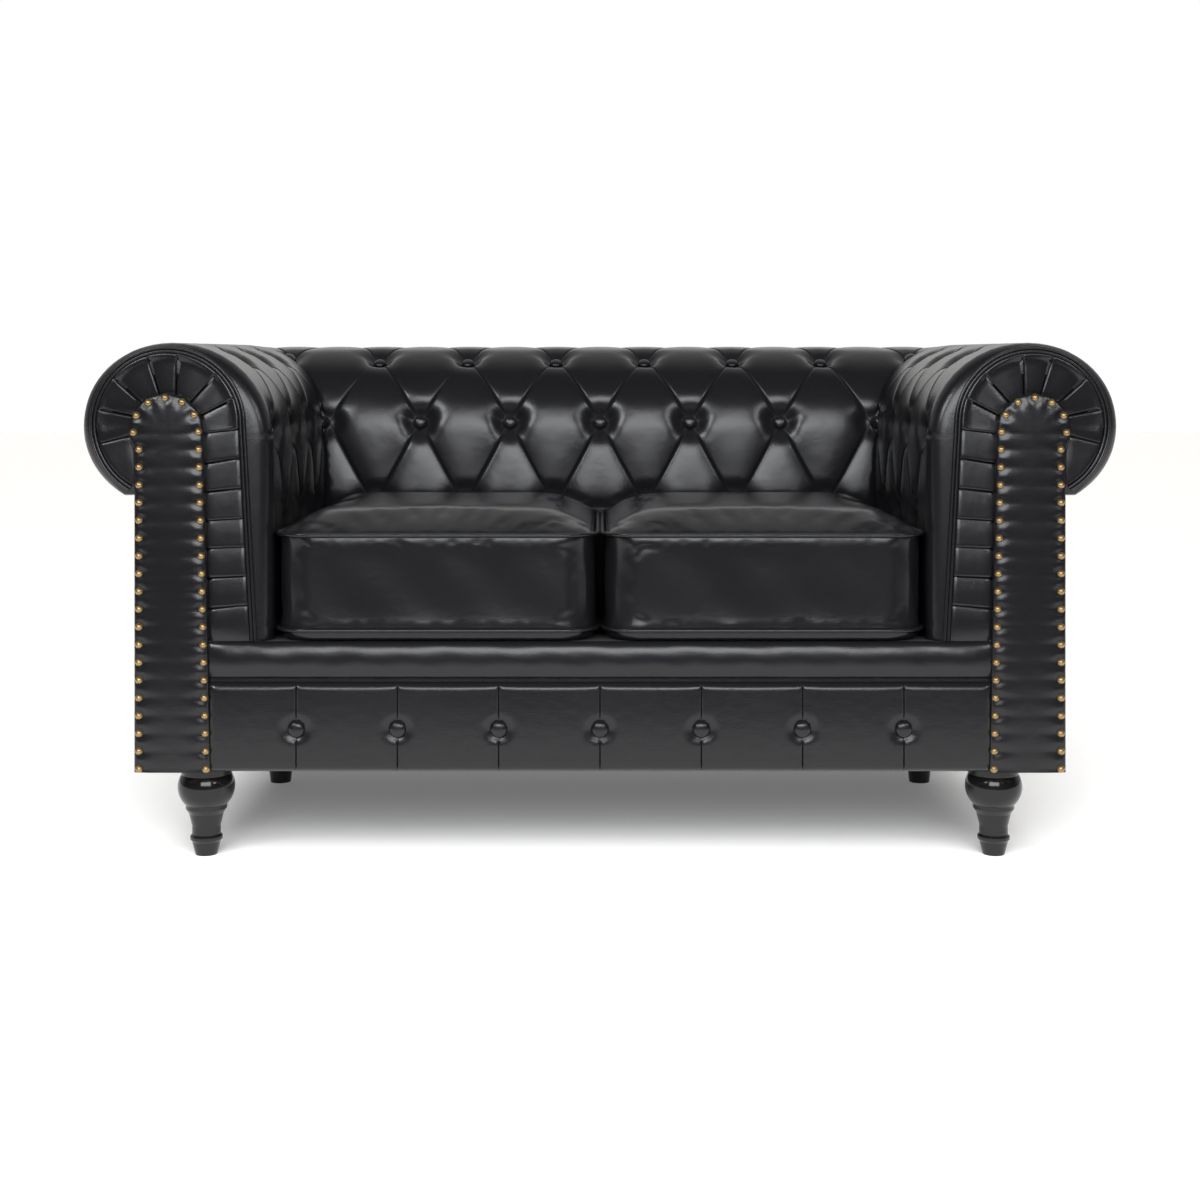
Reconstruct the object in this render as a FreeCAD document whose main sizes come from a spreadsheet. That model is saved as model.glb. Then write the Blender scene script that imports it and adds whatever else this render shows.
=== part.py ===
import FreeCAD, Part
import math
import os
import re

# Two-seat chesterfield sofa: timber frame on four turned feet, deep buttoned pads on a
# scrolled back and arms of one height, pleated scroll facings with a nailed front panel,
# and two loose seat cushions. Millimetres, +Z up, front towards -Y, origin on the floor
# under the middle of the outline.

Vector = FreeCAD.Vector
doc = FreeCAD.newDocument("chesterfield")
sizes = doc.addObject("Spreadsheet::Sheet", "sizes")

SIZES = [
    # overall places
    ("seat_width", 933, "between the arm pads"),
    ("seat_depth", 515.5, "front panel face to back pad"),
    ("inner_roll_radius", 143.5, "inside curve of the scrolls"),
    ("outer_roll_radius", 120, "top to outermost point of the scrolls"),
    ("tuck_roll_radius", 100, "under curve of the scrolls"),
    ("tuck_angle", 70, "degrees that the under curve turns"),
    ("scroll_centre_height", 598, "centre of the inside curve at the arm fronts"),
    ("scroll_rise", 8.5, "how much higher the scrolls are at the back"),
    ("outside_reach", 192.5, "inside pad face to outside panel face"),
    ("frame_bottom", 134, "underside of the timber frame"),
    ("clearance", 0.3, "gap between pieces that lie against each other"),
    # tufting
    ("pad_thickness", 34, "pad from its face to the bent board"),
    ("pad_bottom", 318, "lower edge of the pads, on the seat deck"),
    ("button_row_height", 609.5, "middle button row"),
    ("button_row_pitch", 139.5, "row to row, along the surface"),
    ("back_button_pitch", 154, "along a row of the back"),
    ("arm_button_pitch", 145, "along a row of an arm"),
    ("button_depth", 18, "dimple below the pillows"),
    ("crease_depth", 9, "pleat lines below the pillows"),
    ("button_radius", 11, ""),
    ("button_height", 6, ""),
    ("front_edge_round", 25, "length of the rounded front edge of the arm pads"),
    # arm fronts
    ("panel_thickness", 6, "nailed front panel"),
    ("facing_thickness", 6, "pleated facing"),
    ("front_board_thickness", 18, ""),
    ("facing_centre_height", 626, ""),
    ("facing_centre_reach", 146.5, ""),
    ("facing_radius", 101, ""),
    ("facing_foot_reach", 29, "inner lower corner of the facing"),
    ("facing_bottom", 320, ""),
    ("panel_arch_height", 617, "centre of the arched top of the nailed panel"),
    ("panel_arch_reach", 147.2, ""),
    ("panel_arch_radius", 52.7, ""),
    ("panel_inner_reach", 83.8, ""),
    ("panel_outer_reach", 190.8, ""),
    ("pleat_depth", 1.6, ""),
    ("piping_radius", 2.1, "each cord of the double piping"),
    ("nail_radius", 5.65, ""),
    ("nail_height", 4.5, ""),
    ("nail_shank_radius", 0.9, ""),
    ("nail_shank_length", 5, ""),
    ("nail_inset", 6.3, "nail centre from the panel edge"),
    ("nail_count", 45, ""),
    # seat
    ("cushion_bottom_round", 15.4, "from the underside up to the lower seam"),
    ("cushion_band_height", 135, "lower seam to upper seam"),
    ("cushion_crown", 31, "crown above the upper seam"),
    ("cushion_corner_radius", 45, ""),
    ("cushion_draw_in", 4.2, "side below its seams"),
    ("cushion_cover_thickness", 2, ""),
    ("cushion_piping_radius", 3.2, ""),
    ("front_roll_height", 52, ""),
    ("front_roll_depth", 11.5, ""),
    ("apron_top", 258.7, ""),
    ("apron_depth", 10, ""),
    ("apron_button_count", 7, ""),
    ("apron_button_pitch", 143.3, ""),
    ("apron_button_height", 194, ""),
    ("apron_button_radius", 12, ""),
    ("spring_plane", 302, "height of the springs' wire centre"),
    ("spring_wire_radius", 1.8, ""),
    ("spring_count", 8, ""),
    ("spring_pitch", 104, ""),
    ("spring_run", 30, "straight part of each zigzag"),
    ("spring_turns", 27, ""),
    ("clip_width", 18, ""),
    ("clip_depth", 12, ""),
    # frame timber
    ("rail_thickness", 28, ""),
    ("seat_rail_top", 296, ""),
    ("base_rail_height", 80, ""),
    ("rib_thickness", 18, ""),
    ("bent_board_thickness", 6, ""),
    ("top_rail_width", 40, ""),
    ("top_rail_height", 60, ""),
    ("outside_panel_thickness", 5.5, ""),
    ("outside_panel_top", 536, ""),
    ("dust_cover_thickness", 1.2, ""),
    # feet
    ("block_height", 40, ""),
    ("block_depth", 96, ""),
    ("plate_radius", 30, ""),
    ("plate_thickness", 3.5, ""),
    ("bolt_radius", 4, ""),
    ("bolt_in_foot", 40, ""),
    ("bolt_in_block", 30, ""),
    ("joining_bolt_radius", 4, ""),
    ("joining_bolt_length", 60, ""),
    ("front_foot_place", 572.4, "half the distance between the front feet"),
    ("front_foot_inset", 75, "foot centre behind the front panel"),
    ("rear_foot_place", 549, "half the distance between the rear feet"),
    ("rear_foot_inset", 545, "foot centre behind the front panel"),
    ("front_foot_ball_radius", 41, ""),
    ("front_foot_neck_radius", 20.7, ""),
    ("front_foot_bottom_radius", 15.8, ""),
    ("rear_foot_top_radius", 33, ""),
    ("rear_foot_bottom_radius", 17.3, ""),
]
for number, (alias, amount, note) in enumerate(SIZES, start=1):
    sizes.set("A%d" % number, alias)
    sizes.set("B%d" % number, str(amount))
    sizes.setAlias("B%d" % number, alias)
    sizes.set("C%d" % number, note)
doc.recompute()

# places that follow from the sizes; y values run from the front to the back
LAYOUT = [
    ("inner_half", "seat_width / 2"),
    ("reach", "inner_roll_radius + outer_roll_radius"),
    ("front_y", "(nail_height - seat_depth - reach) / 2"),
    ("back_y", "front_y + seat_depth"),
    ("facing_y", "front_y + panel_thickness"),
    ("board_y", "facing_y + facing_thickness"),
    ("rail_y", "board_y + front_board_thickness"),
    ("board_edge", "pad_thickness + clearance"),
    ("rib_edge", "pad_thickness + bent_board_thickness + clearance"),
    ("rib_back", "outside_reach - outside_panel_thickness"),
    ("inner_rail_half", "inner_half + board_edge - clearance"),
    ("outer_rail_half", "inner_half + rib_back - rail_thickness"),
    ("rear_seat_y", "back_y + rib_edge"),
    ("block_top", "frame_bottom + block_height"),
    ("base_rail_top", "frame_bottom + base_rail_height"),
    ("deck_bottom", "spring_plane + spring_wire_radius + clearance"),
    ("deck_top", "pad_bottom - clearance"),
    ("cushion_bottom", "pad_bottom + clearance"),
    ("lower_seam", "cushion_bottom + cushion_bottom_round"),
    ("upper_seam", "lower_seam + cushion_band_height"),
    ("front_roll_top", "deck_top"),
    ("front_foot_y", "front_y + front_foot_inset"),
    ("rear_foot_y", "front_y + rear_foot_inset"),
    ("foot_top", "frame_bottom - plate_thickness"),
    ("top_rail_reach", "inner_roll_radius"),
    ("top_rail_middle", "scroll_centre_height + scroll_rise - 10"),
    ("panel_inner_half", "inner_half + panel_inner_reach"),
]
ALIASES = {row[0] for row in SIZES}
PLACES = {row[0] for row in LAYOUT}


def bind(text, inside_layout=False):
    """Write a formula's plain names as spreadsheet aliases or layout properties."""
    def full_name(match):
        word = match.group(0)
        if word in ALIASES:
            return "sizes." + word
        if word in PLACES:
            return word if inside_layout else "layout." + word
        raise ValueError("no size is called " + word)
    return re.sub(r"[a-z][a-z_]*", full_name, text)


layout = doc.addObject("App::FeaturePython", "layout")
for place, formula in LAYOUT:
    layout.addProperty("App::PropertyFloat", place, "Places")
for place, formula in LAYOUT:
    layout.setExpression(place, bind(formula, True))
doc.recompute()


class Values:
    """The numbers in the sheet and in the layout, by name."""

    def __getattr__(self, name):
        if name in ALIASES:
            return float(sizes.get(name))
        return float(getattr(layout, name))


val = Values()
nodes = {}


def keep(name, item):
    """Register a finished sub-part under the name of its file."""
    item.Label = name
    nodes[name] = item
    return item


def box(name, along_x, along_y, along_z, final=True):
    """A board between pairs of formulas along each axis."""
    item = doc.addObject("Part::Box", name)
    for size, place, (low, high) in zip(
        ("Length", "Width", "Height"), ("x", "y", "z"), (along_x, along_y, along_z)
    ):
        item.setExpression(size, bind("(%s) - (%s)" % (high, low)))
        item.setExpression("Placement.Base." + place, bind("0 + (%s)" % low))
    return keep(name, item) if final else item


def cylinder(name, radius, at_x, at_y, along_z, final=True):
    """An upright round bar, bound by formulas."""
    item = doc.addObject("Part::Cylinder", name)
    item.setExpression("Radius", bind("0 + " + radius))
    item.setExpression("Height", bind("(%s) - (%s)" % (along_z[1], along_z[0])))
    item.setExpression("Placement.Base.x", bind("0 + (%s)" % at_x))
    item.setExpression("Placement.Base.y", bind("0 + (%s)" % at_y))
    item.setExpression("Placement.Base.z", bind("0 + (%s)" % along_z[0]))
    return item


def compound(name, items, final=True):
    group = doc.addObject("Part::Compound", name)
    group.Links = items
    return keep(name, group) if final else group


def cut(name, base, tool, final=True):
    item = doc.addObject("Part::Cut", name)
    item.Base = base
    item.Tool = tool
    return keep(name, item) if final else item


def shaped(name, shape, final=True):
    item = doc.addObject("Part::Feature", name)
    item.Shape = shape
    item.Placement = shape.Placement
    return keep(name, item) if final else item


def sketch_on(body, role):
    plane = [item for item in body.Origin.OriginFeatures if item.Role == role][0]
    sketch = body.newObject("Sketcher::SketchObject", body.Name + "_sketch")
    sketch.AttachmentSupport = [(plane, "")]
    sketch.MapMode = "FlatFace"
    return sketch


def board_body(name, curves, thickness, placement, final=True):
    """A flat board: a closed outline padded to a thickness, then turned into place."""
    body = doc.addObject("PartDesign::Body", name)
    sketch = sketch_on(body, "XY_Plane")
    sketch.addGeometry(curves, False)
    pad = body.newObject("PartDesign::Pad", name + "_pad")
    pad.Profile = sketch
    pad.setExpression("Length", bind("0 + " + thickness))
    body.Tip = pad
    body.Placement = placement
    return keep(name, body) if final else body


def turned_body(name, curves, at_x, at_y):
    """A turned piece: a half outline in the local XZ plane, revolved about the upright axis."""
    body = doc.addObject("PartDesign::Body", name)
    sketch = sketch_on(body, "XZ_Plane")
    sketch.addGeometry(curves, False)
    turn = body.newObject("PartDesign::Revolution", name + "_turn")
    turn.Profile = sketch
    turn.ReferenceAxis = (sketch, ["V_Axis"])
    turn.Angle = 360
    body.Tip = turn
    body.setExpression("Placement.Base.x", bind("0 + (%s)" % at_x))
    body.setExpression("Placement.Base.y", bind("0 + (%s)" % at_y))
    return body


def line(a, b):
    return Part.LineSegment(Vector(a[0], a[1], 0), Vector(b[0], b[1], 0))


def arc(centre, radius, start, end):
    """An arc by angles in degrees, through its middle."""
    def at(angle):
        turn = math.radians(angle)
        return Vector(centre[0] + radius * math.cos(turn), centre[1] + radius * math.sin(turn), 0)
    return Part.Arc(at(start), at((start + end) / 2), at(end))


def polyline(points):
    return [line(points[k], points[(k + 1) % len(points)]) for k in range(len(points))]


# The scroll profile in its own plane: reach outwards from the inside face of the pad, and
# height. A pad, bent board or rib follows it at its own depth below the face.
FACE = Vector(0, 0, 0)


def side_placement(side, y):
    """Local reach, height and thickness to the left (-1) or right (+1) arm, or the back (0)."""
    if side == 0:
        matrix = FreeCAD.Matrix(0, 0, 1, y, 1, 0, 0, val.back_y, 0, 1, 0, 0, 0, 0, 0, 1)
    else:
        matrix = FreeCAD.Matrix(side, 0, 0, side * val.inner_half, 0, 0, -side, y, 0, 1, 0, 0, 0, 0, 0, 1)
    return FreeCAD.Placement(matrix)


def rise_at(y):
    """How much the arm scroll has risen at a place between the front and the back pad."""
    share = (y - val.board_y) / (val.back_y - val.board_y)
    return val.scroll_rise * min(max(share, 0.0), 1.0)


def scroll_curves(depth, rise, stop_angle):
    """Three arcs of the scroll at a depth below the face, from the inside to the under side."""
    inner = (val.inner_roll_radius, val.scroll_centre_height + rise)
    top = inner[1] + val.inner_roll_radius - val.outer_roll_radius
    outer = (val.inner_roll_radius, top)
    under = (val.inner_roll_radius + val.outer_roll_radius - val.tuck_roll_radius, top)
    return [
        arc(inner, val.inner_roll_radius - depth, 180, 90),
        arc(outer, val.outer_roll_radius - depth, 90, 0),
        arc(under, val.tuck_roll_radius - depth, 0, -stop_angle),
    ]


def rib_outline(depth, rise, bottom, outer_bottom=None):
    """Rib or front board: scroll profile, the outside panel's line and a straight bottom."""
    arcs = scroll_curves(depth, rise, val.tuck_angle + 2)
    start = arcs[0].StartPoint
    end = arcs[2].EndPoint
    shoulder = (val.rib_back, min(val.outside_panel_top + 16, end.y - 8))
    corners = [
        (end.x, end.y),
        shoulder,
        (val.rib_back, bottom),
        (depth, bottom),
        (start.x, start.y),
    ]
    return arcs + [line(corners[k], corners[k + 1]) for k in range(len(corners) - 1)]


def profile_point(along, depth, rise):
    """A point of the scroll by its length along the face, at a depth below the face."""
    straight = val.scroll_centre_height - val.pad_bottom
    quarter = math.pi / 2
    if along <= straight:
        lift = rise * max(along, 0.0) / straight
        return depth, val.pad_bottom + along + lift, -1.0, 0.0
    along -= straight
    centre_z = val.scroll_centre_height + rise
    top_z = centre_z + val.inner_roll_radius - val.outer_roll_radius
    stages = [
        (val.inner_roll_radius, centre_z, val.inner_roll_radius, math.pi, quarter),
        (val.inner_roll_radius, top_z, val.outer_roll_radius, quarter, 0.0),
        (val.inner_roll_radius + val.outer_roll_radius - val.tuck_roll_radius, top_z,
         val.tuck_roll_radius, 0.0, -math.radians(val.tuck_angle)),
    ]
    for centre_t, centre_h, radius, start, end in stages:
        length = radius * (start - end)
        if along <= length + 1e-6 or centre_t != val.inner_roll_radius:
            angle = start - along / radius
            cosine, sine = math.cos(angle), math.sin(angle)
            return (centre_t + (radius - depth) * cosine, centre_h + (radius - depth) * sine,
                    cosine, sine)
        along -= length


def profile_length():
    straight = val.scroll_centre_height - val.pad_bottom
    bends = (val.inner_roll_radius + val.outer_roll_radius) * math.pi / 2
    return straight + bends + val.tuck_roll_radius * math.radians(val.tuck_angle)


def middle_row_along():
    """Length along the face up to the middle button row."""
    straight = val.scroll_centre_height - val.pad_bottom
    over = val.button_row_height - val.scroll_centre_height
    if over <= 0:
        return straight + over
    return straight + val.inner_roll_radius * math.asin(over / val.inner_roll_radius)


# Quilting: buttons at every other lattice point, pleat lines from button to button, and
# straight pleats below the lowest row and over the back of the roll.
def pleat_depth_at(across, up, lowest, highest):
    """Depth of the pleats in lattice units of half a pitch across and one row up."""
    if up < lowest or up > highest:
        odd = round(lowest if up < lowest else highest) % 2
        nearest = 2 * round((across - odd) / 2) + odd
        away = min(abs(across - nearest), 1.0)
    else:
        cell_x, cell_y = math.floor(across), math.floor(up)
        fx, fy = across - cell_x, up - cell_y
        away = abs(fx - fy) if (cell_x + cell_y) % 2 == 0 else abs(fx + fy - 1)
    return val.crease_depth * (1 - away) ** 2


def button_dimple(distance, crease):
    """Blend the pleat depth into the dimple under a button."""
    flat = val.button_radius + 2.6
    if distance <= flat:
        return val.button_depth
    fall = max(0.0, 1 - (distance - flat) / 34.0)
    return crease + (val.button_depth - crease) * fall * fall


def square_distance(sideways, upwards):
    """Distance from a button, counted so that a square patch under it stays level."""
    return max(abs(sideways), abs(upwards), 0.72 * math.hypot(sideways, upwards))


def tuft_depth(along, across, pitch, rows=(-1, 1)):
    """Depth of a tufted face: along the profile, and across it from a middle-row button."""
    up = (along - middle_row_along()) / val.button_row_pitch
    half = across / (pitch / 2)
    crease = pleat_depth_at(half, up, -1, 2)
    row = min(max(round(up), rows[0]), rows[1])
    column = 2 * round((half - row % 2) / 2) + row % 2
    sideways = across - column * pitch / 2
    upwards = along - middle_row_along() - row * val.button_row_pitch
    return button_dimple(square_distance(sideways, upwards), crease)


ROW_SHARES = (0.0, 0.095, 0.3, 0.5, 0.7, 0.905)
COLUMN_SHARES = (0.0, 0.158, 0.33, 0.5, 0.67, 0.842)


def row_lines():
    """Profile lengths of the grid rows: finer at the buttons, even over the roll."""
    middle = middle_row_along()
    lines = [0.0]
    for row in range(-2, 2):
        for share in ROW_SHARES:
            lines.append(middle + (row + share) * val.button_row_pitch)
    lines.append(middle + 2 * val.button_row_pitch)
    lines = sorted(place for place in lines if 4 < place < profile_length() - 12)
    rest = profile_length() - lines[-1]
    steps = max(1, math.ceil(rest / 20.0))
    lines += [lines[-1] + rest * (k + 1) / steps for k in range(steps)]
    return [0.0] + lines


def column_lines(low, high, origin, pitch):
    """Grid columns between two places: finer at the buttons."""
    lines = []
    first = math.floor((low - origin) / (pitch / 2)) - 1
    last = math.ceil((high - origin) / (pitch / 2)) + 1
    for column in range(first, last + 1):
        for share in COLUMN_SHARES:
            lines.append(origin + (column + share) * pitch / 2)
    return [place for place in lines if low + 4 < place < high - 4]


def quilted_solid(columns, rows, face_point, back_point, rising, kinks=()):
    """Closed solid from a grid of face points over plain strips at the back.

    rising tells whether a cell is split along its rising diagonal, as the pleats run.
    """
    grid = [[face_point(u, w) for w in rows] for u in columns]
    stations = [0] + [columns.index(kink) for kink in kinks] + [len(columns) - 1]
    backs = [[back_point(columns[i], w) for w in rows] for i in stations]
    faces = []

    def add(points):
        ring = []
        for point in points:
            if not ring or (point - ring[-1]).Length > 1e-6:
                ring.append(point)
        if (ring[0] - ring[-1]).Length < 1e-6:
            ring.pop()
        if len(ring) > 2:
            faces.append(Part.Face(Part.makePolygon(ring + [ring[0]])))

    for i in range(len(columns) - 1):
        for j in range(len(rows) - 1):
            a, b = grid[i][j], grid[i + 1][j]
            c, d = grid[i + 1][j + 1], grid[i][j + 1]
            if rising((columns[i] + columns[i + 1]) / 2, (rows[j] + rows[j + 1]) / 2):
                add([a, b, c])
                add([a, c, d])
            else:
                add([a, b, d])
                add([b, c, d])
    for k in range(len(stations) - 1):
        low, high = backs[k], backs[k + 1]
        for j in range(len(rows) - 1):
            add([low[j], low[j + 1], high[j + 1]])
            add([low[j], high[j + 1], high[j]])
        between = grid[stations[k]:stations[k + 1] + 1]
        add([row[0] for row in between] + [high[0], low[0]])
        add([row[-1] for row in between] + [high[-1], low[-1]])
    add(grid[0] + backs[0][::-1])
    add(grid[-1] + backs[-1][::-1])
    shell = Part.Shell(faces)
    shell.sewShape()
    if shell.ShapeType != "Shell":
        shell = shell.Shells[0]
    return Part.Solid(shell)


def pleat_rises(across, along, pitch):
    """Whether the pleat through a lattice cell climbs in the direction of the columns."""
    column = math.floor(across / (pitch / 2))
    row = math.floor((along - middle_row_along()) / val.button_row_pitch)
    return (column + row) % 2 == 0


PAD_BACK = val.pad_thickness - 3 * val.clearance


def mitre_reach(along, rise, depth_at, limit):
    """Where a profile line of a pad meets the mitre: the reach there and the depth."""
    depth = 0.0
    for step in range(6):
        t, z = profile_point(along, depth, rise)[:2]
        depth = depth_at(limit(t), along)
    return profile_point(along, depth, rise)[:2]


def back_pad_shape():
    """Back pad: both ends lie on the 45 degree mitres with the arms."""
    def limit(t):
        return val.inner_half + t - val.clearance / 2

    def depth_at(u, w):
        return tuft_depth(w, u, val.back_button_pitch)

    rows = row_lines()
    ends = {w: mitre_reach(w, val.scroll_rise, depth_at, limit) for w in rows}

    def face_point(u, w):
        t, z = ends[w]
        if abs(u) >= limit(t) - 2:
            return Vector(math.copysign(limit(t), u), val.back_y + t, z)
        t, z = profile_point(w, depth_at(u, w), val.scroll_rise)[:2]
        return Vector(u, val.back_y + t, z)

    def back_point(u, w):
        t, z = profile_point(w, PAD_BACK, val.scroll_rise)[:2]
        return Vector(math.copysign(limit(t), u), val.back_y + t, z)

    end = limit(val.reach) + 20
    columns = [-end] + column_lines(-end, end, 0.0, val.back_button_pitch) + [end]

    def rising(u, w):
        return pleat_rises(u, w, val.back_button_pitch)
    return quilted_solid(columns, rows, face_point, back_point, rising)


def front_seam_depth(along, away_front):
    """Plain run in front of the first arm button: one level seam and the rounded edge."""
    seam = val.crease_depth * max(0.0, 1 - abs(along - middle_row_along()) / 40.0) ** 2
    edge = min(max((val.front_edge_round - away_front) / val.front_edge_round, 0.0), 1.0)
    return seam, 20.0 * (1 - math.sqrt(1 - edge * edge))


def arm_pad_shape(side):
    """Arm pad: rounded front edge, and a mitred end against the back pad."""
    pitch = val.arm_button_pitch
    first = math.floor((val.seat_depth + 5) / pitch) * pitch

    def limit(t):
        return val.back_y + t - val.clearance / 2

    def depth_at(y, w):
        across = y - val.back_y
        before = -first - across
        seam, edge = front_seam_depth(w, y - val.board_y)
        depth = tuft_depth(w, across, pitch)
        if before > 0:
            depth = button_dimple(square_distance(before, w - middle_row_along()), seam)
        return min(depth + edge, PAD_BACK - 5)

    rows = row_lines()
    ends = {w: mitre_reach(w, val.scroll_rise, depth_at, limit) for w in rows}

    def face_point(y, w):
        t, z = ends[w]
        if y >= limit(t) - 2:
            return Vector(side * (val.inner_half + t), limit(t), z)
        t, z = profile_point(w, depth_at(y, w), rise_at(y))[:2]
        return Vector(side * (val.inner_half + t), y, z)

    def back_point(y, w):
        if y <= val.back_y + 1e-6:
            t, z = profile_point(w, PAD_BACK, rise_at(y))[:2]
            return Vector(side * (val.inner_half + t), y, z)
        t, z = profile_point(w, PAD_BACK, val.scroll_rise)[:2]
        return Vector(side * (val.inner_half + t), limit(t), z)

    start = val.board_y
    end = limit(val.reach) + 20
    lines = column_lines(start + val.front_edge_round, end, val.back_y, pitch)
    edge_lines = [start + val.front_edge_round * share for share in (0.0, 0.12, 0.35, 0.65)]
    columns = edge_lines + lines + [end]
    kink = min(columns, key=lambda place: abs(place - val.back_y))

    def rising(y, w):
        return pleat_rises(y - val.back_y, w, pitch)
    return quilted_solid(columns, rows, face_point, back_point, rising, (kink,))


for side, word in ((-1, "left"), (1, "right")):
    shaped(word + "_arm_tufted_pad", arm_pad_shape(side))
shaped("back_tufted_pad", back_pad_shape())


# Buttons: covered, domed, each seated at the bottom of its dimple.
def button_shape(radius, height, centre, normal):
    """Domed button on a flat back."""
    edge = 1.2
    rise = height - edge
    bend = (radius * radius + rise * rise) / (2 * rise)
    along = Vector(0, 0, 1)
    disc = Part.makeCylinder(radius, height, Vector(0, 0, 0), along)
    ball = Part.makeSphere(bend, Vector(0, 0, height - bend), along)
    piece = disc.common(ball)
    piece.Placement = FreeCAD.Placement(centre, FreeCAD.Rotation(along, normal))
    return piece


def side_button(side, row, place, corner=False):
    """Button of an arm (side -1 or 1) or of the back (side 0) on a lattice row."""
    along = middle_row_along() + row * val.button_row_pitch
    rise = val.scroll_rise if side == 0 or corner else rise_at(place)
    nt, nz = profile_point(along, 0, rise)[2:]
    if corner:
        normal = Vector(side * nt, nt, 2 * nz)
        normal.normalize()
        lean = math.sqrt(max(0.0, 1 - (nt * normal.y + nz * normal.z) ** 2))
        depth = val.button_depth - val.button_radius * lean - val.clearance
        t, z = profile_point(along, depth, rise)[:2]
        centre = Vector(side * (val.inner_half + t), val.back_y + t, z)
    else:
        t, z = profile_point(along, val.button_depth - val.clearance, rise)[:2]
        if side == 0:
            centre = Vector(place, val.back_y + t, z)
            normal = Vector(0, nt, nz)
        else:
            centre = Vector(side * (val.inner_half + t), place, z)
            normal = Vector(side * nt, 0, nz)
    return button_shape(val.button_radius, val.button_height, centre, normal)


def row_limit(row):
    """Reach of the face at a button row, where the mitre cuts the lattice."""
    return profile_point(middle_row_along() + row * val.button_row_pitch, 0, 0)[0]


back_buttons = []
for row in (-1, 0, 1):
    half_pitch = val.back_button_pitch / 2
    for column in range(-12, 13):
        if (column + row) % 2:
            continue
        place = column * half_pitch
        if abs(place) + val.button_radius * 2 < val.inner_half + row_limit(row):
            back_buttons.append(side_button(0, row, place))
for side in (-1, 1):
    for row in (0, 1):
        back_buttons.append(side_button(side, row, 0, True))
shaped("back_buttons", Part.makeCompound(back_buttons))
for side, word in ((-1, "left"), (1, "right")):
    arm_buttons = []
    for row in (-1, 0, 1):
        for column in range(-12, 1):
            place = val.back_y + column * val.arm_button_pitch / 2
            if (column + row) % 2 or place < val.board_y + val.front_edge_round + val.button_radius:
                continue
            if place + val.button_radius * 2 < val.back_y + row_limit(row):
                arm_buttons.append(side_button(side, row, place))
    shaped(word + "_arm_buttons", Part.makeCompound(arm_buttons))


# Bent boards under the pads: thin ply that follows the scroll from the deck to the tuck.
def bent_section(rise, bottom):
    """Closed outline of the bent board across its length, at one place."""
    outer = scroll_curves(val.pad_thickness, rise, val.tuck_angle)
    inner = scroll_curves(val.pad_thickness + val.bent_board_thickness, rise, val.tuck_angle)
    a, b = outer[0].StartPoint, inner[0].StartPoint
    corners = [(a.x, bottom), (b.x, bottom)]
    curves = [line(corners[0], (a.x, a.y))] + outer
    curves.append(line(outer[2].EndPoint[:2], inner[2].EndPoint[:2]))
    curves += [inner[2], inner[1], inner[0]]
    curves.append(line((b.x, b.y), corners[1]))
    curves.append(line(corners[1], corners[0]))
    return Part.Wire([curve.toShape() for curve in curves])


def mitre_wedge(side):
    """Block over the back's share of a corner, cut away from an arm's piece, and the reverse."""
    gap = val.clearance / 2
    far = val.reach + 60
    x, y = val.inner_half, val.back_y
    points = [
        Vector(side * (x - 60), y - 60 - gap, 0),
        Vector(side * (x + far), y + far - gap, 0),
        Vector(side * (x + far), y + far + 400, 0),
        Vector(side * (x - 60), y + far + 400, 0),
    ]
    face = Part.Face(Part.makePolygon(points + [points[0]]))
    return face.extrude(Vector(0, 0, 1200))


def bent_board(side):
    """Arm board in a rising and a level run, or the level back board."""
    board_bottom = val.pad_bottom
    if side == 0:
        wire = bent_section(val.scroll_rise, board_bottom)
        far = val.inner_half + val.reach
        place = side_placement(0, -far)
        solid = Part.Face(wire).extrude(Vector(0, 0, 2 * far))
        solid.Placement = place
        for end in (-1, 1):
            wedge = mitre_wedge(end)
            turned = wedge.mirror(Vector(0, 0, 0), Vector(0, 1, 0))
            gap = val.clearance
            x, y = val.inner_half, val.back_y
            points = [
                Vector(end * (x - 60), y - 60 + gap / 2, 0),
                Vector(end * (x + val.reach + 60), y + val.reach + 60 + gap / 2, 0),
                Vector(end * (x + val.reach + 60), y - 60 + gap / 2, 0),
            ]
            face = Part.Face(Part.makePolygon(points + [points[0]]))
            solid = solid.cut(face.extrude(Vector(0, 0, 1200)))
        return solid
    stations = (val.rail_y + val.clearance, val.back_y, val.back_y + val.reach)
    wires = []
    for y in stations:
        wire = bent_section(rise_at(y), board_bottom)
        wire.Placement = side_placement(side, y)
        wires.append(wire)
    solid = Part.makeLoft(wires, True, True)
    return solid.cut(mitre_wedge(side))


for side, word in ((-1, "left"), (1, "right")):
    shaped(word + "_arm_bent_board", bent_board(side))
shaped("back_bent_board", bent_board(0))

# Frame timber: seat frame, base rails under the outside panels, and blocks for the feet.
side_rails = {}
for word, low, high in (
    ("left", "0 - inner_rail_half", "0 - inner_rail_half + rail_thickness"),
    ("right", "inner_rail_half - rail_thickness", "inner_rail_half"),
):
    side_rails[word] = box(word + "_side_rail_plain", (low, high),
                           ("board_y + rail_thickness", "rear_seat_y + rail_thickness"),
                           ("frame_bottom", "seat_rail_top"), False)
box("front_seat_rail", ("0 - inner_rail_half", "inner_rail_half"), ("board_y", "board_y + rail_thickness"),
    ("frame_bottom", "seat_rail_top"))
box("rear_seat_rail", ("rail_thickness - inner_rail_half", "inner_rail_half - rail_thickness"),
    ("rear_seat_y", "rear_seat_y + rail_thickness"), ("frame_bottom", "seat_rail_top"))
box("centre_seat_rail", ("0 - rail_thickness / 2", "rail_thickness / 2"),
    ("board_y + rail_thickness", "rear_seat_y"), ("frame_bottom", "frame_bottom + base_rail_height"))
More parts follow.
